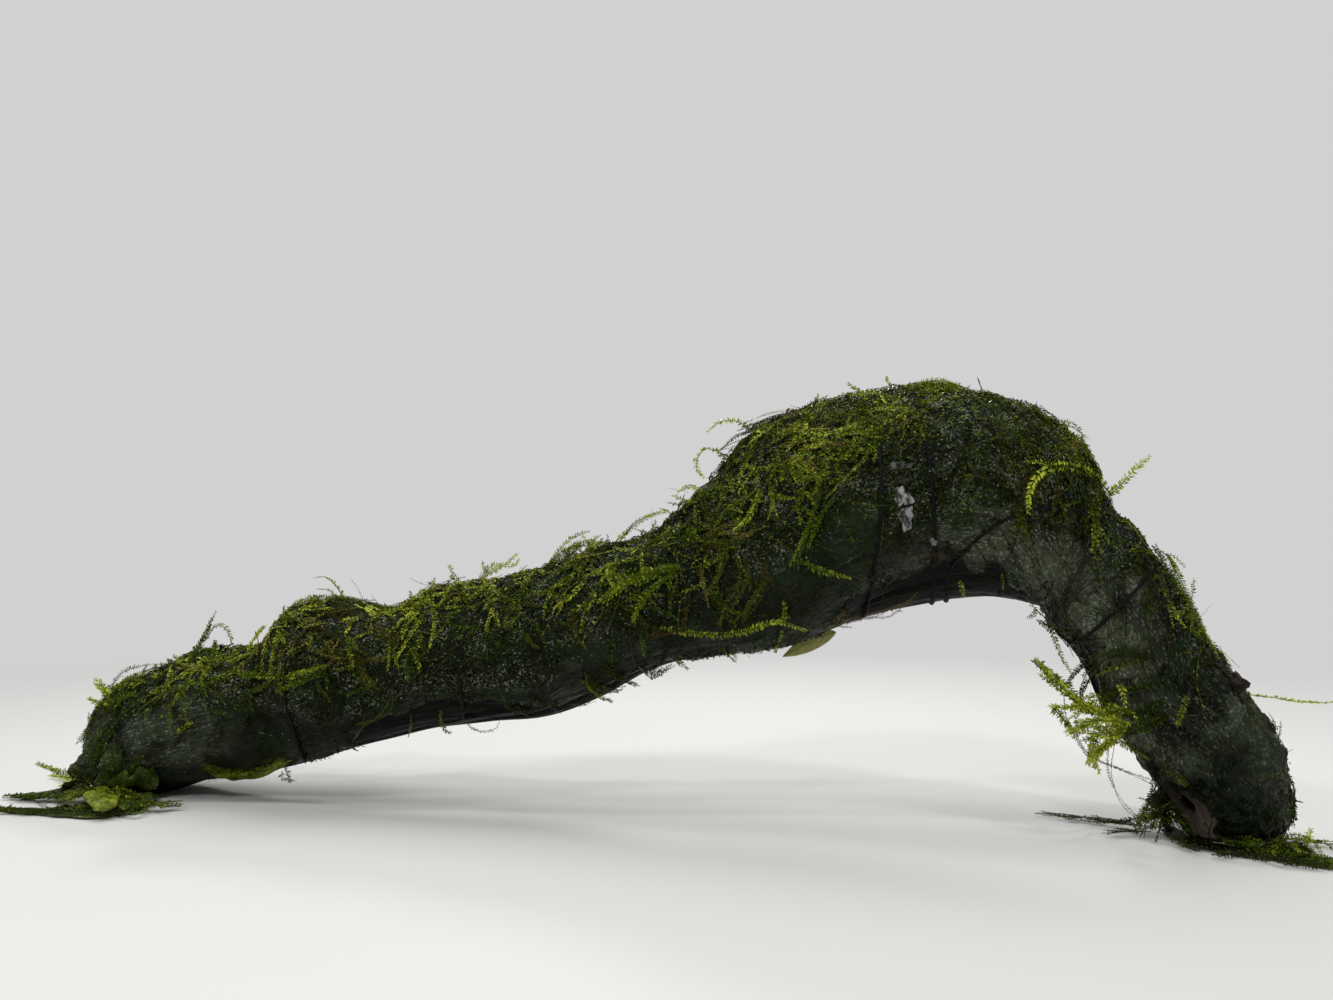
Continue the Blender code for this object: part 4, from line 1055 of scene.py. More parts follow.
        (0.4, 0.05, 1.0, 4, [(1150, 655), (1120, 652), (1095, 656)]),
        (0.68, 0.1, 1.0, 1, [(1189, 694), (1183, 708), (1177, 726)]),
        (0.6, 0.72, 0.3, 1, [(1222, 676), (1232, 684), (1243, 700)]),
        (0.5, 0.1, 0.9, 3, [(1160, 770), (1175, 776), (1186, 786)]),
    ],
}


def run_along(points):
    """Length of a line of points up to each of them."""
    return np.concatenate([[0], np.cumsum(np.linalg.norm(np.diff(points, axis=0), axis=1))])


def evened(points, count):
    """The same line read at evenly spaced lengths."""
    run = run_along(points)
    even = np.linspace(0, run[-1], count)
    return np.stack([np.interp(even, run, points[:, axis]) for axis in range(points.shape[1])], -1)


def eased(points, count):
    """Smooth curve through given points (each span a cubic with the neighbours' half
    steps as end slopes), read at evenly spaced lengths."""
    table = np.asarray(points, float)
    padded = np.concatenate([2 * table[:1] - table[1:2], table, 2 * table[-1:] - table[-2:-1]])
    place = np.linspace(0, len(table) - 1, 12 * len(table))
    span = np.minimum(place.astype(int), len(table) - 2)
    t = (place - span)[:, None]
    before, start, end, after = (padded[span + k] for k in range(4))
    fine = start + 0.5 * t * (end - before + t * (2 * before - 5 * start + 4 * end - after
                                                  + t * (3 * (start - end) + after - before)))
    return evened(fine, count)


level = np.array([-math.sin(CAMERA_BEARING), math.cos(CAMERA_BEARING), 0])
rightward = np.array([math.cos(CAMERA_BEARING), math.sin(CAMERA_BEARING), 0])
forward = level * math.cos(CAMERA_PITCH) + UPRIGHT * math.sin(CAMERA_PITCH)
overhead = UPRIGHT * math.cos(CAMERA_PITCH) - level * math.sin(CAMERA_PITCH)
pixels = PICTURE[0] * FOCAL_LENGTH / SENSOR_WIDTH

seen_stations = np.linspace(-0.95, MAT_END, 330)[:, None]
seen_columns = np.linspace(4.0, 14.6, 54)[None, :]
seen_height = np.maximum(carpet(seen_stations, seen_columns), 0)
seen_moss = skin(seen_stations, seen_columns, seen_height).reshape(-1, 3)
facing = (slopes(seen_stations, seen_columns)[2].reshape(-1, 3) * (seen_moss - CAMERA_PLACE)).sum(1) < 0
seen_moss = seen_moss[facing] - CAMERA_PLACE
seen_depth = seen_moss @ forward
seen_pixels = np.stack([seen_moss @ rightward, -(seen_moss @ overhead)], -1) / seen_depth[:, None] * pixels
seen_pixels = seen_pixels + np.array(PICTURE) / 2


def sighted(course, clearance=FROND_CLEARANCE):
    """Places in millimetres of points in the photograph: out along each point's line of sight,
    to the nearest of the moss that shows there and of the ground, less the clearance."""
    offset = (course - np.array(PICTURE) / 2) / pixels
    rays = forward + offset[:, :1] * rightward - offset[:, 1:] * overhead
    away = np.linalg.norm(course[:, None] - seen_pixels[None], axis=-1)
    depth = seen_depth[np.argmin(away + 0.05 * seen_depth, axis=1)]
    for _ in range(3):
        padded = np.pad(depth, 1, mode="edge")
        depth = np.minimum(depth, (padded[:-2] + 2 * depth + padded[2:]) / 4)
    falls = -rays[:, 2]
    ground = np.where(falls > 0.01, (CAMERA_PLACE[2] - clearance) / np.maximum(falls, 0.01), 1e4)
    return CAMERA_PLACE + rays * np.minimum(depth - clearance, ground)[:, None]


def single_fronds(rng, rows):
    """Fronds along sighted courses; those side by side are strewn a few pixels apart."""
    batches = []
    for fresh, brown, size, copies, course in rows:
        for copy in range(copies):
            strewn = np.array(course, float) + (rng.normal(size=(len(course), 2)) * STREWN if copy else 0)
            count = max(6, round(run_along(strewn)[-1] / FROND_STEP))
            spine = sighted(eased(strewn, count), FROND_CLEARANCE + COPY_LIFT * copy)
            toward = unit(CAMERA_PLACE - spine) + 0.35 * rng.normal(size=3) + 0.5 * UPRIGHT
            sizes = np.array([size * (1 - COPY_THINNER * copy)])
            tone = np.array([fresh - COPY_DULLER * copy])
            batches.append(frond_mesh(rng, spine[None], toward[None], sizes, tone, np.array([brown]),
                                      *OPEN_FORM))
    return batches


for seed, (key, rows) in enumerate(SINGLE_FRONDS.items()):
    moss_piece("single_fronds_" + key, "moss_pale", single_fronds(np.random.default_rng(200 + seed), rows))


# Loose moss. Tufts and strands that have slipped off the wood: a tuft at the left foot, a tuft
# and a trailing bundle at the right foot, and a pale spray and a long single strand on the
# leg. Where they lie they cling flat, as wet moss does.

STEM_CLEARANCE = 0.5
FACING = np.array([0, -0.8, 0.6])

# Middle, half sizes, fronds and freshness of each heap.
HEAPS = {
    "moss_tuft_left_foot": ((-132.0, -18.0, 0.0), (10.5, 8, 3.5), 34, 0.68),
    "moss_tuft_right_foot": ((118.0, -7.0, 0.0), (5.5, 5, 6), 28, 0.4),
    "moss_trail_right_foot": ((136.0, -21.0, 0.0), (6.5, 3, 2.5), 26, 0.45),
    "moss_spray_leg": ((110.0, -12.0, 26.0), (4, 3, 4), 8, 0.85),
}

# Strands that leave the heaps: freshness, leaf length, how many lie side by side, and route.
STRANDS = {
    "moss_tuft_left_foot": [
        (0.5, 1.3, 4, [(-122.0, -22, 2.2), (-132.0, -28, 1.2), (-141.0, -30, 1.1), (-149.0, -30.5, 1.1),
                       (-158.0, -31, 0.8)]),
        (0.5, 1.2, 5, [(-136.0, -15, 5.5), (-142.0, -16, 2.5), (-147.5, -15, 1.6), (-155.0, -14.5, 1.1),
                       (-161.5, -14, 0.8)]),
        (0.9, 1.3, 2, [(-140.0, -10, 2.5), (-150.5, -3, 1.4), (-155.0, 2, 1.2), (-161.0, 7, 1.0),
                       (-171.0, 12, 1.0)]),
        (0.6, 1.1, 3, [(-120.0, -20, 2.5), (-114.5, -21, 2.0), (-109.0, -19.5, 1.2)]),
    ],
    "moss_tuft_right_foot": [
        (0.35, 0.8, 3, [(114.5, -4, 1.6), (108.5, 2, 1.3), (102.0, 6, 1.1), (94.5, 9.5, 0.8)]),
        (0.35, 0.8, 2, [(115.0, -9, 1.6), (111.0, -8, 1.2), (106.0, -5.5, 0.8)]),
    ],
    "moss_trail_right_foot": [
        (0.55, 1.0, 6, [(126.0, -17.5, 2.4), (135.0, -22, 1.6), (142.0, -26.0, 1.3), (149.0, -30, 0.9)]),
        (0.12, 1.4, 8, [(120.5, -14.5, 1.8), (125.0, -16.5, 1.6), (130.0, -19.5, 1.4)]),
        (0.5, 0.9, 2, [(131.0, -18.5, 1.4), (138.0, -15, 1.2), (144.5, -11, 1.1), (148.5, -11.5, 1.0),
                       (147.0, -16.5, 1.0)]),
    ],
    "moss_spray_leg": [
        (0.85, 1.3, 2, [(109.0, -12.5, 26.5), (102.6, -11, 28.2), (96.9, -10.5, 32.8), (92.0, -10.5, 38.0)]),
        (0.9, 1.2, 3, [(109.0, -12.5, 26.0), (105.0, -12, 27.2), (101.0, -12, 28.4), (97.0, -12, 27.6)]),
        (0.9, 1.2, 3, [(109.0, -13, 25.0), (105.0, -14.5, 24.4), (100.5, -15, 24.6), (96.5, -15.5, 23.3)]),
        (0.95, 1.2, 2, [(109.0, -12.5, 24.5), (106.0, -12.5, 20.8), (103.8, -12.5, 18.2),
                        (102.8, -12.5, 15.4)]),
        (0.45, 0.5, 1, [(108.5, -11, 27.0), (101.5, -8, 26.5), (100.8, -7.5, 21.5), (103.6, -7.5, 17.2),
                        (109.5, -7.5, 14.4), (120.0, -7.5, 11.0)]),
        (0.6, 0.45, 1, [(108.5, -11.5, 24.5), (107.6, -10, 18.5), (107.2, -9.5, 13.4), (108.8, -10, 7.6),
                        (112.4, -10.5, 5.2), (121.0, -10, 9.4)]),
    ],
    "moss_strand_leg": [
        (0.9, 1.0, 1, [(131.0, -2, 31.0), (141.0, -3, 30.2), (147.0, -4, 29.4), (151.5, -5, 29.2),
                       (156.0, -6, 29.8)]),
    ],
}

# Fronds on the feet that can be told apart, in the numbers and pixels of the single fronds.
FOOT_FRONDS = {
    "moss_tuft_left_foot": [
        (0.6, 0.05, 1.0, 3, [(122, 742), (104, 764), (84, 784), (50, 794), (14, 796)]),
        (0.6, 0.05, 1.0, 3, [(105, 738), (94, 762), (76, 788), (48, 799)]),
        (0.66, 0.05, 1.0, 3, [(140, 758), (124, 784), (100, 806), (70, 812)]),
        (0.66, 0.05, 1.0, 3, [(152, 766), (148, 786), (138, 800), (120, 812)]),
        (0.85, 0, 1.1, 2, [(112, 776), (103, 790), (100, 803), (110, 812)]),
        (0.9, 0, 1.1, 3, [(84, 776), (66, 774), (52, 770), (37, 763)]),
        (0.72, 0, 1.1, 4, [(120, 812), (135, 810), (152, 800)]),
        (0.5, 0.1, 1.0, 6, [(125, 810), (90, 816), (55, 813), (20, 812), (2, 812)]),
        (0.3, 0.3, 0.4, 2, [(60, 815), (45, 806), (30, 797)]),
        (0.8, 0.1, 1.0, 6, [(203, 768), (235, 773), (262, 768), (285, 759)]),
        (0.85, 0.1, 1.0, 4, [(208, 772), (236, 776), (262, 771)]),
        (0.6, 0.4, 0.9, 2, [(284, 765), (288, 774), (290, 783)]),
    ],
    "moss_trail_right_foot": [
        (0.5, 0.15, 0.9, 4, [(1158, 782), (1150, 800), (1140, 818)]),
        (0.42, 0.2, 0.9, 3, [(1165, 790), (1162, 815), (1175, 838), (1200, 850)]),
        (0.4, 0.2, 0.7, 2, [(1170, 800), (1182, 822), (1205, 845), (1235, 852)]),
        (0.4, 0.3, 0.7, 3, [(1155, 812), (1125, 820), (1085, 821), (1042, 812)]),
        (0.45, 0.3, 0.8, 2, [(1165, 826), (1148, 828), (1132, 834)]),
        (0.58, 0.1, 1.0, 7, [(1235, 848), (1270, 852), (1302, 860), (1333, 868)]),
        (0.4, 0.1, 1.0, 5, [(1215, 850), (1240, 854), (1271, 858), (1302, 865), (1333, 869)]),
        (0.68, 0.1, 1.0, 4, [(1240, 842), (1275, 848), (1305, 853), (1332, 863)]),
        (0.7, 0.1, 0.8, 2, [(1268, 846), (1292, 838), (1312, 840), (1325, 856)]),
        (0.95, 0, 1.3, 1, [(1307, 846), (1309, 838), (1311, 830)]),
    ],
}


def heaped(rng, middle, size, count, fresh):
    """Fronds of a heap: each starts near its middle and arches out over it to its rim."""
    middle, size = np.array(middle), np.array(size, float)
    bearing = rng.uniform(0, 2 * math.pi, count)
    way = np.stack([np.cos(bearing), np.sin(bearing), 0 * bearing], -1)
    across = np.stack([-way[:, 1], way[:, 0], 0 * bearing], -1)
    start = rng.uniform(0.0, 0.6, (count, 1)) * size * way
    reach = rng.uniform(0.75, 1.12, (count, 1))
    share = np.linspace(0, 1, 9)[None, :, None]
    flat = start[:, None] + (way * size * reach - start)[:, None] * share
    flat = flat + across[:, None] * (rng.normal(size=(count, 1, 1)) * 2.2 * share**1.5)
    out = np.linalg.norm(flat / size, axis=-1, keepdims=True)
    top = size[2] * np.sqrt(np.clip(1.05 - out**2, 0, 1)) * rng.uniform(0.55, 1.0, (count, 1, 1))
    spine = middle + flat * np.array([1, 1, 0]) + (top + 0.7) * UPRIGHT
    if middle[2] > 0:
        spine = spine + rng.normal(size=(count, 1, 3)) * size * 0.4
    up = UPRIGHT + 0.5 * rng.normal(size=(count, 1, 3)) + 0 * spine
    tone = fresh + 0.14 * rng.normal(size=count)
    return frond_mesh(rng, spine, up, rng.uniform(0.9, 1.3, count), tone, rng.uniform(0, 0.2, count))


def strewn_strands(rng, rows, grounded):
    """Strands along given routes, a few side by side, each with short side fronds."""
    batches = []
    spread = np.array([1.4, 1.4, 0.25 if grounded else 1.0])
    for fresh, size, copies, route in rows:
        for copy in range(copies):
            shift = rng.normal(size=(len(route), 3)) * spread * min(copy, 1)
            spine = eased(np.array(route, float) + shift, 3 * len(route) + 2)
            spine[:, 2] = np.maximum(spine[:, 2], STEM_CLEARANCE)
            up = ((UPRIGHT if grounded else FACING) + 0.35 * rng.normal(size=3) + 0 * spine)[None]
            batches.append(frond_mesh(rng, spine[None], up, np.array([size]),
                                      np.array([fresh - 0.05 * copy]), np.array([0.08]), *FLAT_FORM))
            if size < 0.7:
                continue
            nodes = np.arange(2, len(spine) - 3, 3)
            ahead = unit(spine[nodes + 1] - spine[nodes])
            way = unit(ahead + 0.8 * np.cross(UPRIGHT, ahead) * rng.choice([-1, 1], (len(nodes), 1)))
            share = np.linspace(0, 1, 7)[None, :, None]
            side = spine[nodes][:, None] + (way * rng.uniform(2.5, 6, (len(nodes), 1)))[:, None] * share
            side[..., 2] = np.maximum(side[..., 2], STEM_CLEARANCE)
            same = np.ones(len(nodes))
            batches.append(frond_mesh(rng, side, up[0, 0] + 0 * side, size * 0.85 * same, fresh * same,
                                      0.05 * same, *FLAT_FORM))
    return batches


for seed, (name, rows) in enumerate(STRANDS.items()):
    rng = np.random.default_rng(300 + seed)
    batches = strewn_strands(rng, rows, "foot" in name)
    if name in HEAPS:
        batches.append(heaped(rng, *HEAPS[name]))
    batches += single_fronds(rng, FOOT_FRONDS.get(name, []))
    slot = "moss_tuft" if "foot" in name else "moss_pale"
    moss_piece(name.replace("moss_", "loose_"), slot, batches, name)


# Wet drapes. Loose moss that clings together in smooth wet sheets and ropes: six slide off the
# left end and over the ground, a thin one clings under the arm, and two run out at the right
# foot. Each is a flattened strand, laid along its course.

# Freshness, lift over what lies under it, thickness, widths along it, and course in pixels.
DRAPES = [
    (0.42, 0.0, 1.4, (2, 4, 6, 7, 5, 3, 1),
     [(100, 722), (97, 742), (91, 760), (81, 776), (62, 790), (36, 796), (10, 798)]),
    (0.4, 0.0, 1.6, (3, 7, 10, 9), [(116, 744), (116, 764), (118, 784), (116, 802)]),
    (0.5, 0.6, 2.2, (2, 7, 9, 6), [(140, 766), (142, 780), (138, 795), (130, 808)]),
    (0.55, 1.2, 1.6, (2, 6, 8, 4), [(126, 770), (122, 784), (120, 798), (124, 810)]),
    (0.84, 2.2, 2.4, (2, 5, 6.5, 4.5), [(104, 778), (100, 788), (101, 800), (106, 809)]),
    (0.52, 0.0, 1.4, (3, 4.5, 4, 3.2, 2), [(128, 810), (100, 815), (64, 814), (30, 811), (0, 812)]),
    (0.74, 0.0, 1.2, (1, 3.6, 3.2, 1), [(204, 769), (232, 774), (262, 770), (292, 760)]),
    (0.44, 0.0, 1.4, (2, 5, 5.5, 4.5, 3), [(1226, 846), (1250, 850), (1280, 854), (1308, 861), (1334, 868)]),
    (0.45, 0.0, 1.0, (2, 4, 4, 2), [(1160, 786), (1162, 808), (1172, 830), (1192, 846)]),
]
DRAPE_CLEARANCE = 0.08

# Below this height a drape lies flat on the ground, and above it on the moss.
DRAPE_GROUND = 4
DRAPE_SIDES = 24


def draped(rng, lift, thick, widths, course):
    """Flattened strand along a sighted course: an ellipse of the given width and thickness,
    ridged lengthwise, that lies flat on what it touches or on the strands under it. With its
    points comes the place in its grain."""
    count = max(12, round(run_along(course)[-1] / 3))
    spine = sighted(eased(course, count), 0.2 + thick / 4 + lift)
    share = np.linspace(0, 1, count)
    width = np.interp(share, np.linspace(0, 1, len(widths)), widths)
    width = (width * np.minimum(1, 8 * np.minimum(share, 1 - share) + 0.1))[:, None]
    tangent = unit(np.gradient(spine, axis=0))
    up = np.where(spine[:, 2:] > DRAPE_GROUND, unit(CAMERA_PLACE - spine), UPRIGHT)
    up = unit(up - tangent * (up * tangent).sum(-1, keepdims=True))
    side = np.cross(tangent, up)
    angle = np.linspace(0, 2 * math.pi, DRAPE_SIDES, endpoint=False)
    grain = np.stack(np.broadcast_arrays(run_along(spine)[:, None] / 7, width * np.cos(angle) * 0.6,
                                         np.sin(angle) + 0 * width), -1) + rng.uniform(0, 50)
    ridge = 1 + 0.16 * waves(grain, 2.0, 71) + 0.1 * waves(grain, 0.8, 72)
    across = np.cos(angle) * width / 2 * ridge
    above = np.sin(angle) * thick / 2 * ridge * np.minimum(1, width / 3)
    points = spine[:, None] + side[:, None] * across[..., None] + up[:, None] * above[..., None]
    points[..., 2] = np.maximum(points[..., 2], DRAPE_CLEARANCE)
    return points, grain


def paint_drape(tree):
    tint = tree.value("tint")
    grain = tree.value("grain", "Vector")
    streak = grain.noise(1.3, 4, 0.6)
    fine = grain.noise(4.0, 3, 0.6)
    place = tree.place()
    patch = place.noise(220, 3, 0.6)
    fresh = tint + (streak - 0.5) * 0.5 + (fine - 0.5) * 0.4 + (patch - 0.5) * 0.9
    base = fresh.node("ValToRGB", {"stops": GREENS}, {"Fac": fresh})
    # Painted highlights: pale grey glints painted in patches on the drape.
    painted_glint = place.noise(1900, 2, 0.6).between(0.58, 0.66) * patch.between(0.45, 0.6)
    base = painted_glint.mixed(base, (0.3, 0.34, 0.25))
    return {"Base Color": base, "Roughness": 0.14, "Specular IOR Level": 0.35,
            "Normal": (streak + fine * 0.5).bump(0.0012)}


drape_surface = surface("wet_drape", paint_drape)
for number, (tint, lift, thick, widths, course) in enumerate(DRAPES):
    rng = np.random.default_rng(400 + number)
    points, grain = draped(rng, lift, thick, widths, np.array(course, float))
    ring_piece(f"wet_drape_{number + 1}", points, drape_surface,
               {"grain": grain, "tint": np.full(points.shape[:2], tint)})


# Binding thread. Dark cotton sewing thread of two twisted plies, wound round wood and moss from
# the left end to the leg and pulled into the moss.

# Turns counted from the front, and the station that the thread has reached there.
THREAD_ROUTE = [(-0.3, 5.7), (0, 6.2), (1, 9.3), (2, 12.9), (3, 17.05), (4, 17.8), (4.84, 17.95),
                (5.0, 20.3), (5.12, 23.2), (5.6, 24.5), (6.0, 25.4), (6.12, 25.8)]
THREAD_FRONT_COLUMN = 9.8
THREAD_RADIUS = 0.4
THREAD_TWIST = 2.6
THREAD_STEP = 0.55
THREAD_SIDES = 8


def thread_course():
    """Middle line of the thread, and the length up to each of its points: the stations of its
    turns joined and eased, at the height of the moss averaged along it, so that it bridges
    the hollows."""
    turns, stations = np.array(THREAD_ROUTE, float).T
    fine = np.linspace(turns[0], turns[-1], 4000)
    ease = np.hanning(121)
    station = np.pad(np.interp(fine, turns, stations), 60, mode="edge")
    station = np.convolve(station, ease / ease.sum(), "valid")
    column = np.mod(THREAD_FRONT_COLUMN - COLUMNS * fine, COLUMNS)
    height = np.pad(np.maximum(carpet(station, column), 0.0), 15, mode="edge")
    level = np.convolve(height, np.ones(31) / 31, "valid")
    course = skin(station, column, level + THREAD_RADIUS * 0.6)
    length = run_along(course)[-1]
    rows = round(length / THREAD_STEP)
    return evened(course, rows), np.linspace(0, length, rows)


course, run = thread_course()
tangent = unit(np.gradient(course, axis=0))
reference = unit(np.cross(tangent, np.array([1.0, 0.0, 0.0])))
beside = np.cross(tangent, reference)
angle = np.linspace(0, 2 * math.pi, THREAD_SIDES, endpoint=False)
ply = 0.72 + 0.34 * np.abs(np.cos(angle - math.pi * run[:, None] / THREAD_TWIST))
thread_points = course[:, None] + THREAD_RADIUS * ply[..., None] * (
    np.cos(angle)[:, None] * reference[:, None] + np.sin(angle)[:, None] * beside[:, None])


def paint_thread(tree):
    place = tree.place()
    fibre = place.noise(2500, 2, 0.5)
    return {"Base Color": fibre.between(0.3, 0.7).mixed((0.0012, 0.0012, 0.0016), (0.005, 0.005, 0.006)),
            "Roughness": 0.7, "Normal": fibre.bump(0.0002), "Specular IOR Level": 0.15}


ring_piece("thread_winding", thread_points, surface("cotton_thread", paint_thread), {},
           "binding_thread")


# Dead leaf. A small yellowed leaf, fallen on the wood and caught by its stalk under the hump:
# thin, pointed at both ends, with a midrib and a slightly rolled blade.

LEAF_LENGTH = 14.0
LEAF_WIDTH = 4.3
LEAF_THICK = 0.22
LEAF_STALK = (836, 632)
LEAF_CLEARANCE = 0.6
LEAF_TURN = (-76, -24, 8)
LEAF_RINGS = 60
LEAF_ACROSS = 15


def turned(points, degrees):
    """Points turned about X, then Y, then Z."""
    for axis, angle in enumerate(np.radians(degrees)):
        first, second = [(1, 2), (2, 0), (0, 1)][axis]
        a, b = points[..., first].copy(), points[..., second].copy()
        points[..., first] = a * math.cos(angle) - b * math.sin(angle)
        points[..., second] = a * math.sin(angle) + b * math.cos(angle)
    return points


# Rings run round the blade, over its upper side and back under it. It narrows to both ends as a
# sine does, cups up to its edges, waves along its length and dips along the midrib.
share = np.linspace(0.996, 0.004, LEAF_RINGS)[:, None]
across = np.linspace(-1, 1, LEAF_ACROSS)
across = np.concatenate([across, across[-2:0:-1]])[None, :]
upper = np.where(np.arange(across.size) < LEAF_ACROSS, 1, -1)
half = LEAF_WIDTH / 2 * np.sin(math.pi * share**0.8) ** 0.85
height = 0.8 * across**2 * half / LEAF_WIDTH + 0.5 * np.sin(5 * share) - 0.25 * bell(across, 0, 0.12)
height = height + upper * LEAF_THICK / 2 * (1 - across**4)
blade = np.stack(np.broadcast_arrays(-LEAF_LENGTH * share, half * across, height), -1).copy()
stalk = sighted(np.array([LEAF_STALK, LEAF_STALK], float), LEAF_CLEARANCE)[0]
leaf_points = turned(blade, LEAF_TURN) + stalk


def paint_dead_leaf(tree):
    blotch = tree.place().noise(500, 4, 0.6)
    base = blotch.between(0.3, 0.7).mixed((0.13, 0.15, 0.02), (0.28, 0.26, 0.05))
    base = blotch.between(0.62, 0.72).mixed(base, (0.1, 0.06, 0.025))
    return {"Base Color": base, "Roughness": 0.4, "Normal": blotch.bump(0.0003)}


ring_piece("fallen_leaf", leaf_points, surface("dead_leaf_blade", paint_dead_leaf), {}, "dead_leaf")


# Scraps. Small torn bits of leaf and of pale wet film that lie on the hump and the leg, stuck in
# the moss: thin discs with a ragged rim.

# Colour, half width, half height, turn in degrees and place in pixels.
SCRAPS = [
    ((0.34, 0.33, 0.34), 1.7, 2.3, 10, (903, 497)),
    ((0.28, 0.27, 0.28), 1.7, 2.6, -15, (906, 517)),
    ((0.1, 0.12, 0.085), 2.9, 0.9, 8, (899, 466)),
    ((0.03, 0.025, 0.012), 1.8, 1.3, 40, (901, 481)),
    ((0.024, 0.018, 0.007), 2.4, 2.1, 30, (942, 551)),
    ((0.02, 0.022, 0.012), 2.2, 1.8, -30, (922, 546)),
    ((0.28, 0.27, 0.28), 0.8, 1.4, 20, (932, 541)),
    ((0.1, 0.085, 0.03), 2.2, 1.9, 5, (839, 615)),
    ((0.05, 0.038, 0.024), 2.0, 3.4, 35, (1236, 686)),
]
SCRAP_SIDES = 28
SCRAP_RINGS = 5
SCRAP_THICK = 0.24


def scrap(rng, half_wide, half_high, tilt, place):
    """Ragged thin disc that faces the viewer at a sighted place: rings from the middle of its
    back over the rim to the middle of its front."""
    spot = sighted(np.array([place, place], float), 0.5)[0]
    toward = unit(CAMERA_PLACE - spot)
    across = unit(np.cross(toward, UPRIGHT))
    above = np.cross(across, toward)
    angle = np.linspace(0, 2 * math.pi, SCRAP_SIDES, endpoint=False)
    lobes = rng.uniform(0.1, 0.2, 3)
    rim = 1 + sum(size * np.sin(order * angle + rng.uniform(0, 6)) for size, order in zip(lobes, (2, 3, 7)))
    out = np.concatenate([np.linspace(0.05, 1, SCRAP_RINGS), np.linspace(0.97, 0.05, SCRAP_RINGS)])[:, None]
    thick = np.repeat([-SCRAP_THICK / 2, SCRAP_THICK / 2], SCRAP_RINGS)[:, None]
    slant = math.radians(tilt)
    wide, high = out * rim * np.cos(angle) * half_wide, out * rim * np.sin(angle) * half_high
    left = wide * math.cos(slant) - high * math.sin(slant)
    up = wide * math.sin(slant) + high * math.cos(slant)
    depth = thick + 0.5 * (1 - out**2) + 0.25 * np.sin(left * 1.7 + rng.uniform(0, 6))
    return spot - left[..., None] * across + up[..., None] * above + depth[..., None] * toward


def paint_scrap(tree):
    blotch = tree.place().noise(700, 4, 0.65)
    shade = blotch.between(0.42, 0.58).mixed((0.12, 0.12, 0.1), (1, 1, 1))
    base = tree.node("Mix", {"data_type": "RGBA", "blend_type": "MULTIPLY"},
                     {0: 1.0, 6: tree.value("colour", "Vector"), 7: shade}, 2)
    return {"Base Color": base, "Roughness": 0.25, "Normal": blotch.bump(0.0004), "Specular IOR Level": 0.15}


scrap_surface = surface("torn_scrap", paint_scrap)
for number, (colour, half_wide, half_high, tilt, place) in enumerate(SCRAPS):
    points = scrap(np.random.default_rng(500 + number), half_wide, half_high, tilt, place)
    ring_piece(f"scrap_{number + 1}", points, scrap_surface,
               {"colour": np.broadcast_to(colour, points.shape)})


# Floor, light and camera. A pale floor that fades into the backdrop, a broad soft light above
# and behind, and small bright ones for the glitter of the wet leaves.

BACKDROP = (0.64, 0.64, 0.64)
FLOOR_RADIUS = 3.0
FLOOR_DROP = 0.00002
FLOOR_SIDES = 96

angle = np.linspace(0, 2 * math.pi, FLOOR_SIDES, endpoint=False)
rim = np.stack([np.cos(angle) * FLOOR_RADIUS, np.sin(angle) * FLOOR_RADIUS, 0 * angle - FLOOR_DROP], -1)
floor_mesh = bpy.data.meshes.new("floor")
floor_mesh.from_pydata(rim.tolist(), [], [list(range(FLOOR_SIDES))])
floor = bpy.data.objects.new("floor", floor_mesh)
bpy.context.scene.collection.objects.link(floor)
floor_surface = bpy.data.materials.new("pale_floor")
floor_surface.use_nodes = True
floor_surface.node_tree.nodes.clear()
ground = Tone(floor_surface.node_tree)
far_off = ground.node("VectorMath", {"operation": "LENGTH"}, {0: ground.place()}, "Value")
far_off = far_off.between(0.22, 0.65)
near_by = ground.node("BsdfPrincipled", {}, {"Base Color": (0.74, 0.735, 0.715, 1), "Roughness": 0.6,
                                             "Specular IOR Level": 0.2})
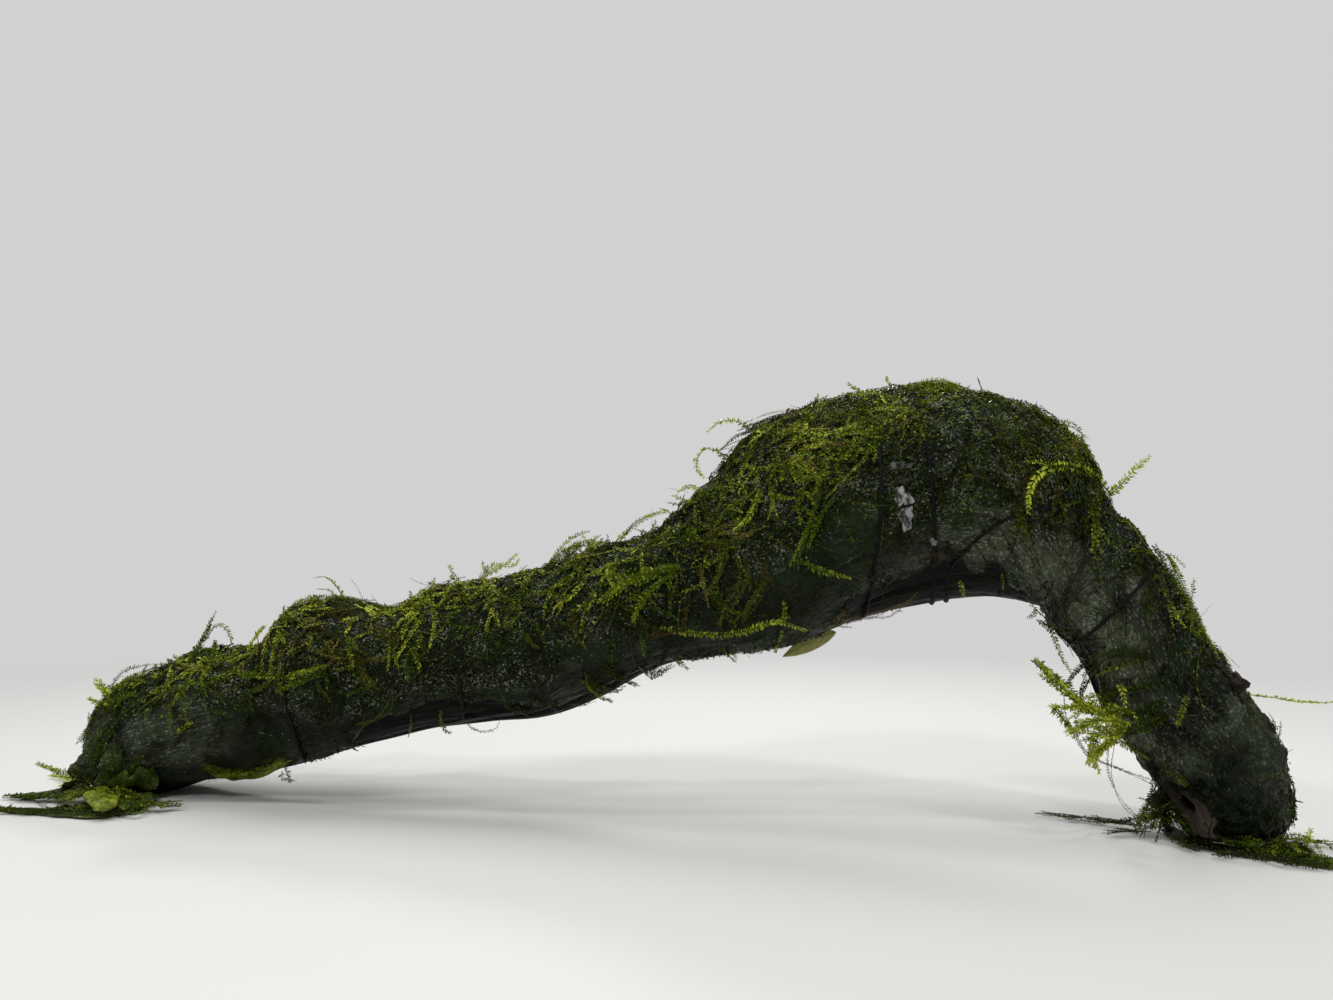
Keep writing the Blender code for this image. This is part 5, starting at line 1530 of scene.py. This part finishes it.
haze = ground.node("Emission", {}, {"Color": (*BACKDROP, 1), "Strength": 1.0})
faded = ground.node("MixShader", {}, {0: far_off, 1: near_by, 2: haze})
ground.node("OutputMaterial", {}, {"Surface": faded})
floor_mesh.materials.append(floor_surface)

world = bpy.data.worlds.new("studio")
bpy.context.scene.world = world
world.use_nodes = True
world.node_tree.nodes.clear()
sky = Tone(world.node_tree)
seen_by = sky.node("LightPath", {}, {}, "Is Camera Ray")
shown = sky.node("Background", {}, {"Color": (*BACKDROP, 1), "Strength": 1.0})
fill = sky.node("Background", {}, {"Color": (1.0, 1.0, 0.96, 1), "Strength": 0.22})
sky.node("OutputWorld", {}, {"Surface": sky.node("MixShader", {}, {0: seen_by, 1: fill, 2: shown})})


# Place, the height on the middle that it faces, size and power of each lamp.
LAMPS = {
    "overhead": ((0.05, 0.2, 0.9), 0.03, 0.7, 4.4),
    "glint_left": ((-0.5, -0.3, 0.7), 0.04, 0.1, 1.5),
    "glint_right": ((0.45, -0.35, 0.65), 0.04, 0.1, 1.3),
    "glint_front": ((0.0, -0.6, 0.55), 0.04, 0.1, 1.2),
    "glint_back": ((0.0, 0.6, 0.6), 0.05, 0.14, 1.8),
}
for name, (place, aim, size, power) in LAMPS.items():
    lamp = bpy.data.lights.new(name, "AREA")
    lamp.size = size
    lamp.energy = power
    made = bpy.data.objects.new(name, lamp)
    made.location = place
    way = unit(np.array([0, 0, aim]) - np.array(place))
    made.rotation_euler = (math.acos(-way[2]), 0, math.atan2(-way[0], way[1]))
    bpy.context.scene.collection.objects.link(made)

camera = bpy.data.objects.new("camera", bpy.data.cameras.new("camera"))
camera.data.sensor_width = SENSOR_WIDTH
camera.data.lens = FOCAL_LENGTH
camera.data.clip_start = 0.01
camera.location = (CAMERA_PLACE + TO_FRAME) * MM
camera.rotation_euler = (math.pi / 2 + CAMERA_PITCH, 0, CAMERA_BEARING)
bpy.context.scene.collection.objects.link(camera)
bpy.context.scene.camera = camera
bpy.context.scene.view_settings.view_transform = "Standard"
